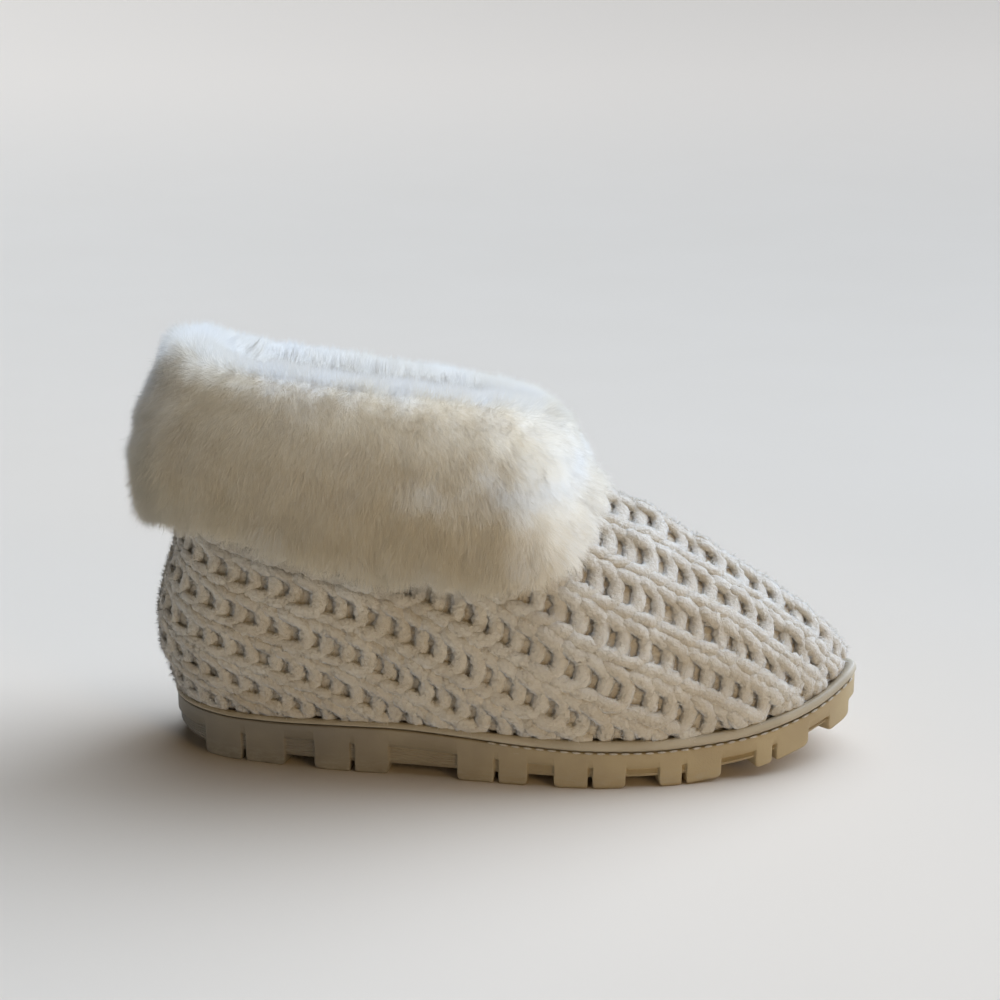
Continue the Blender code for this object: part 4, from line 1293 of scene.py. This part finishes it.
def moulded_bead():
    """Smooth tan moulding of the welt."""
    finish = Finish("moulded bead", roughness=0.5)
    grain, patch = finish.noise(0.6, detail=3.0), finish.noise(18.0)
    return finish.set(
        Base_Color=finish.mix(patch.ramp(0.3, 0.7), BEAD_DEEP, BEAD_PALE),
        Roughness=patch.ramp(0.2, 0.8, 0.42, 0.56),
        Normal=finish.bump(grain, 0.1),
    )


def studio_floor():
    """Plain pale floor, a little lighter where it rises."""
    finish = Finish("studio floor", roughness=0.9)
    patch = finish.noise(240.0)
    colour = finish.mix(patch.ramp(0.2, 0.8), FLOOR_DEEP, FLOOR_PALE)
    colour = finish.mix(finish.place_along(2).ramp(0.0, 0.5), colour, FLOOR_BACK)
    return finish.set(Base_Color=colour, Specular_IOR_Level=0.1)


def dress(pieces, material, node):
    """Gives pieces their finish in a material slot, and hides the CAD node that they replace."""
    for piece in pieces:
        piece.data.materials.append(material)
        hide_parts(node)


yarns, yarn_piles = build_yarn()
dress(yarns, chenille("chenille yarn"), "upper")
dress(yarn_piles, chenille("chenille pile", thin=0.2), "upper")
weave = {"size": 1.1, "detail": 3.0}
# Ground cloth darker than the yarn, as painted shade in the holes.
ground_cloth = cloth("ground cloth", GROUND_DEEP, GROUND_PALE, weave, depth=0.5, sheen=0.2)
dress([build_ground()], ground_cloth, "upper")
dress([build_lining()], fleece("lining fleece", LINING_DEEP, LINING_PALE), "upper")
dress([build_cuff_sheet()], fleece("fur backing", FUR_ROOT, FUR_TIP), "cuff")
dress(build_fur(), plush("plush pile"), "cuff")
dress([build_bead()], moulded_bead(), "welt")
twist = {"size": 0.5, "stretch": (1.0, 1.0, 3.0)}
thread = cloth("sewing thread", THREAD_DEEP, THREAD_PALE, twist, depth=0.2, roughness=0.7)
dress([build_stitches()], thread, "welt")
dress([build_sole()], moulded_sole(), "outsole")
dress([build_insole()], fleece("footbed", FOOTBED_DEEP, FOOTBED_PALE), "insole")


# Stage, light and camera --------------------------------------------------------------------

FLOOR_RADII = [1.0, *np.linspace(200, 700, 6), *np.linspace(800, 6000, 40)]
FLOOR_FLAT, FLOOR_BEND, FLOOR_TURNS = 700.0, 24000.0, 96
WORLD_COLOUR, WORLD_STRENGTH = (1.0, 0.86, 0.61), 0.02
CAMERA_TURN, CAMERA_TILT = 5.5, 12.6
CAMERA_AIM_X, CAMERA_DISTANCE, CAMERA_HEIGHT = 128.0, 560.0, 220.0
CAMERA_LENS = 54.43
CAMERA_CLIP = (0.02, 60.0)


def build_stage():
    """Seamless round floor that rises slowly, far away from the shoe."""
    radii = np.array(FLOOR_RADII)[:, None]
    turns = np.arange(FLOOR_TURNS) / FLOOR_TURNS * 2 * math.pi
    heights = np.clip(radii - FLOOR_FLAT, 0, None) ** 2 / FLOOR_BEND + 0 * turns
    points = np.stack([radii * np.cos(turns), radii * np.sin(turns), heights], axis=2)
    faces = grid_faces(len(radii), FLOOR_TURNS, closed_columns=True).tolist()
    faces.append(list(range(FLOOR_TURNS)))
    mesh = bpy.data.meshes.new("studio_floor")
    mesh.from_pydata((points.reshape(-1, 3) * MM).tolist(), [], faces)
    mesh.shade_smooth()
    mesh.materials.append(studio_floor())
    floor = bpy.data.objects.new("studio_floor", mesh)
    bpy.context.collection.objects.link(floor)


def add_light(kind, name, place, aim, strength, colour, **settings):
    """Light of a kind that shines from a place towards a point."""
    light = bpy.data.lights.new(name, kind)
    light.energy, light.color = strength, colour
    for key, value in settings.items():
        setattr(light, key, value)
    lamp = bpy.data.objects.new(name, light)
    lamp.location = metres(place)
    lamp.rotation_euler = Vector(np.subtract(place, aim)).to_track_quat("Z", "Y").to_euler()
    bpy.context.collection.objects.link(lamp)


def add_sun(name, direction, strength, colour, spread):
    """Distant soft light that shines from a direction."""
    add_light("SUN", name, direction, (0, 0, 0), strength, colour, angle=math.radians(spread))


def set_world():
    """Faint light from all around."""
    world = bpy.data.worlds.new("studio")
    world.use_nodes = True
    background = world.node_tree.nodes["Background"]
    background.inputs["Color"].default_value = (*WORLD_COLOUR, 1.0)
    background.inputs["Strength"].default_value = WORLD_STRENGTH
    bpy.context.scene.world = world


def add_camera():
    """Camera beside the shoe, turned a little from its heel and tilted down."""
    turn, tilt = math.radians(CAMERA_TURN), math.radians(CAMERA_TILT)
    level_look = np.array([-math.sin(turn), math.cos(turn), 0.0])
    camera = bpy.data.objects.new("camera", bpy.data.cameras.new("camera"))
    camera.data.lens = CAMERA_LENS
    camera.data.clip_start, camera.data.clip_end = CAMERA_CLIP
    aim = np.array([CAMERA_AIM_X, 0.0, CAMERA_HEIGHT])
    camera.location = metres(aim - level_look * CAMERA_DISTANCE)
    look = Vector(level_look * math.cos(tilt) - UP * math.sin(tilt))
    camera.rotation_euler = look.to_track_quat("-Z", "Y").to_euler()
    bpy.context.collection.objects.link(camera)
    bpy.context.scene.camera = camera


build_stage()
set_world()
add_sun("key", (0.8, 0.58, 0.56), 2.9, (0.78, 0.96, 1.26), 60)
add_sun("overhead", (0.32, 0.34, 0.92), 2.55, (0.81, 0.96, 1.21), 72)
add_light(
    "SPOT", "toe lamp", (800, -720, 420), (185, -35, 70), 10.5, (1.0, 0.72, 0.35),
    spot_size=math.radians(31), spot_blend=1.0, shadow_soft_size=0.2,
)
add_camera()
bpy.context.scene.view_settings.view_transform = "Standard"
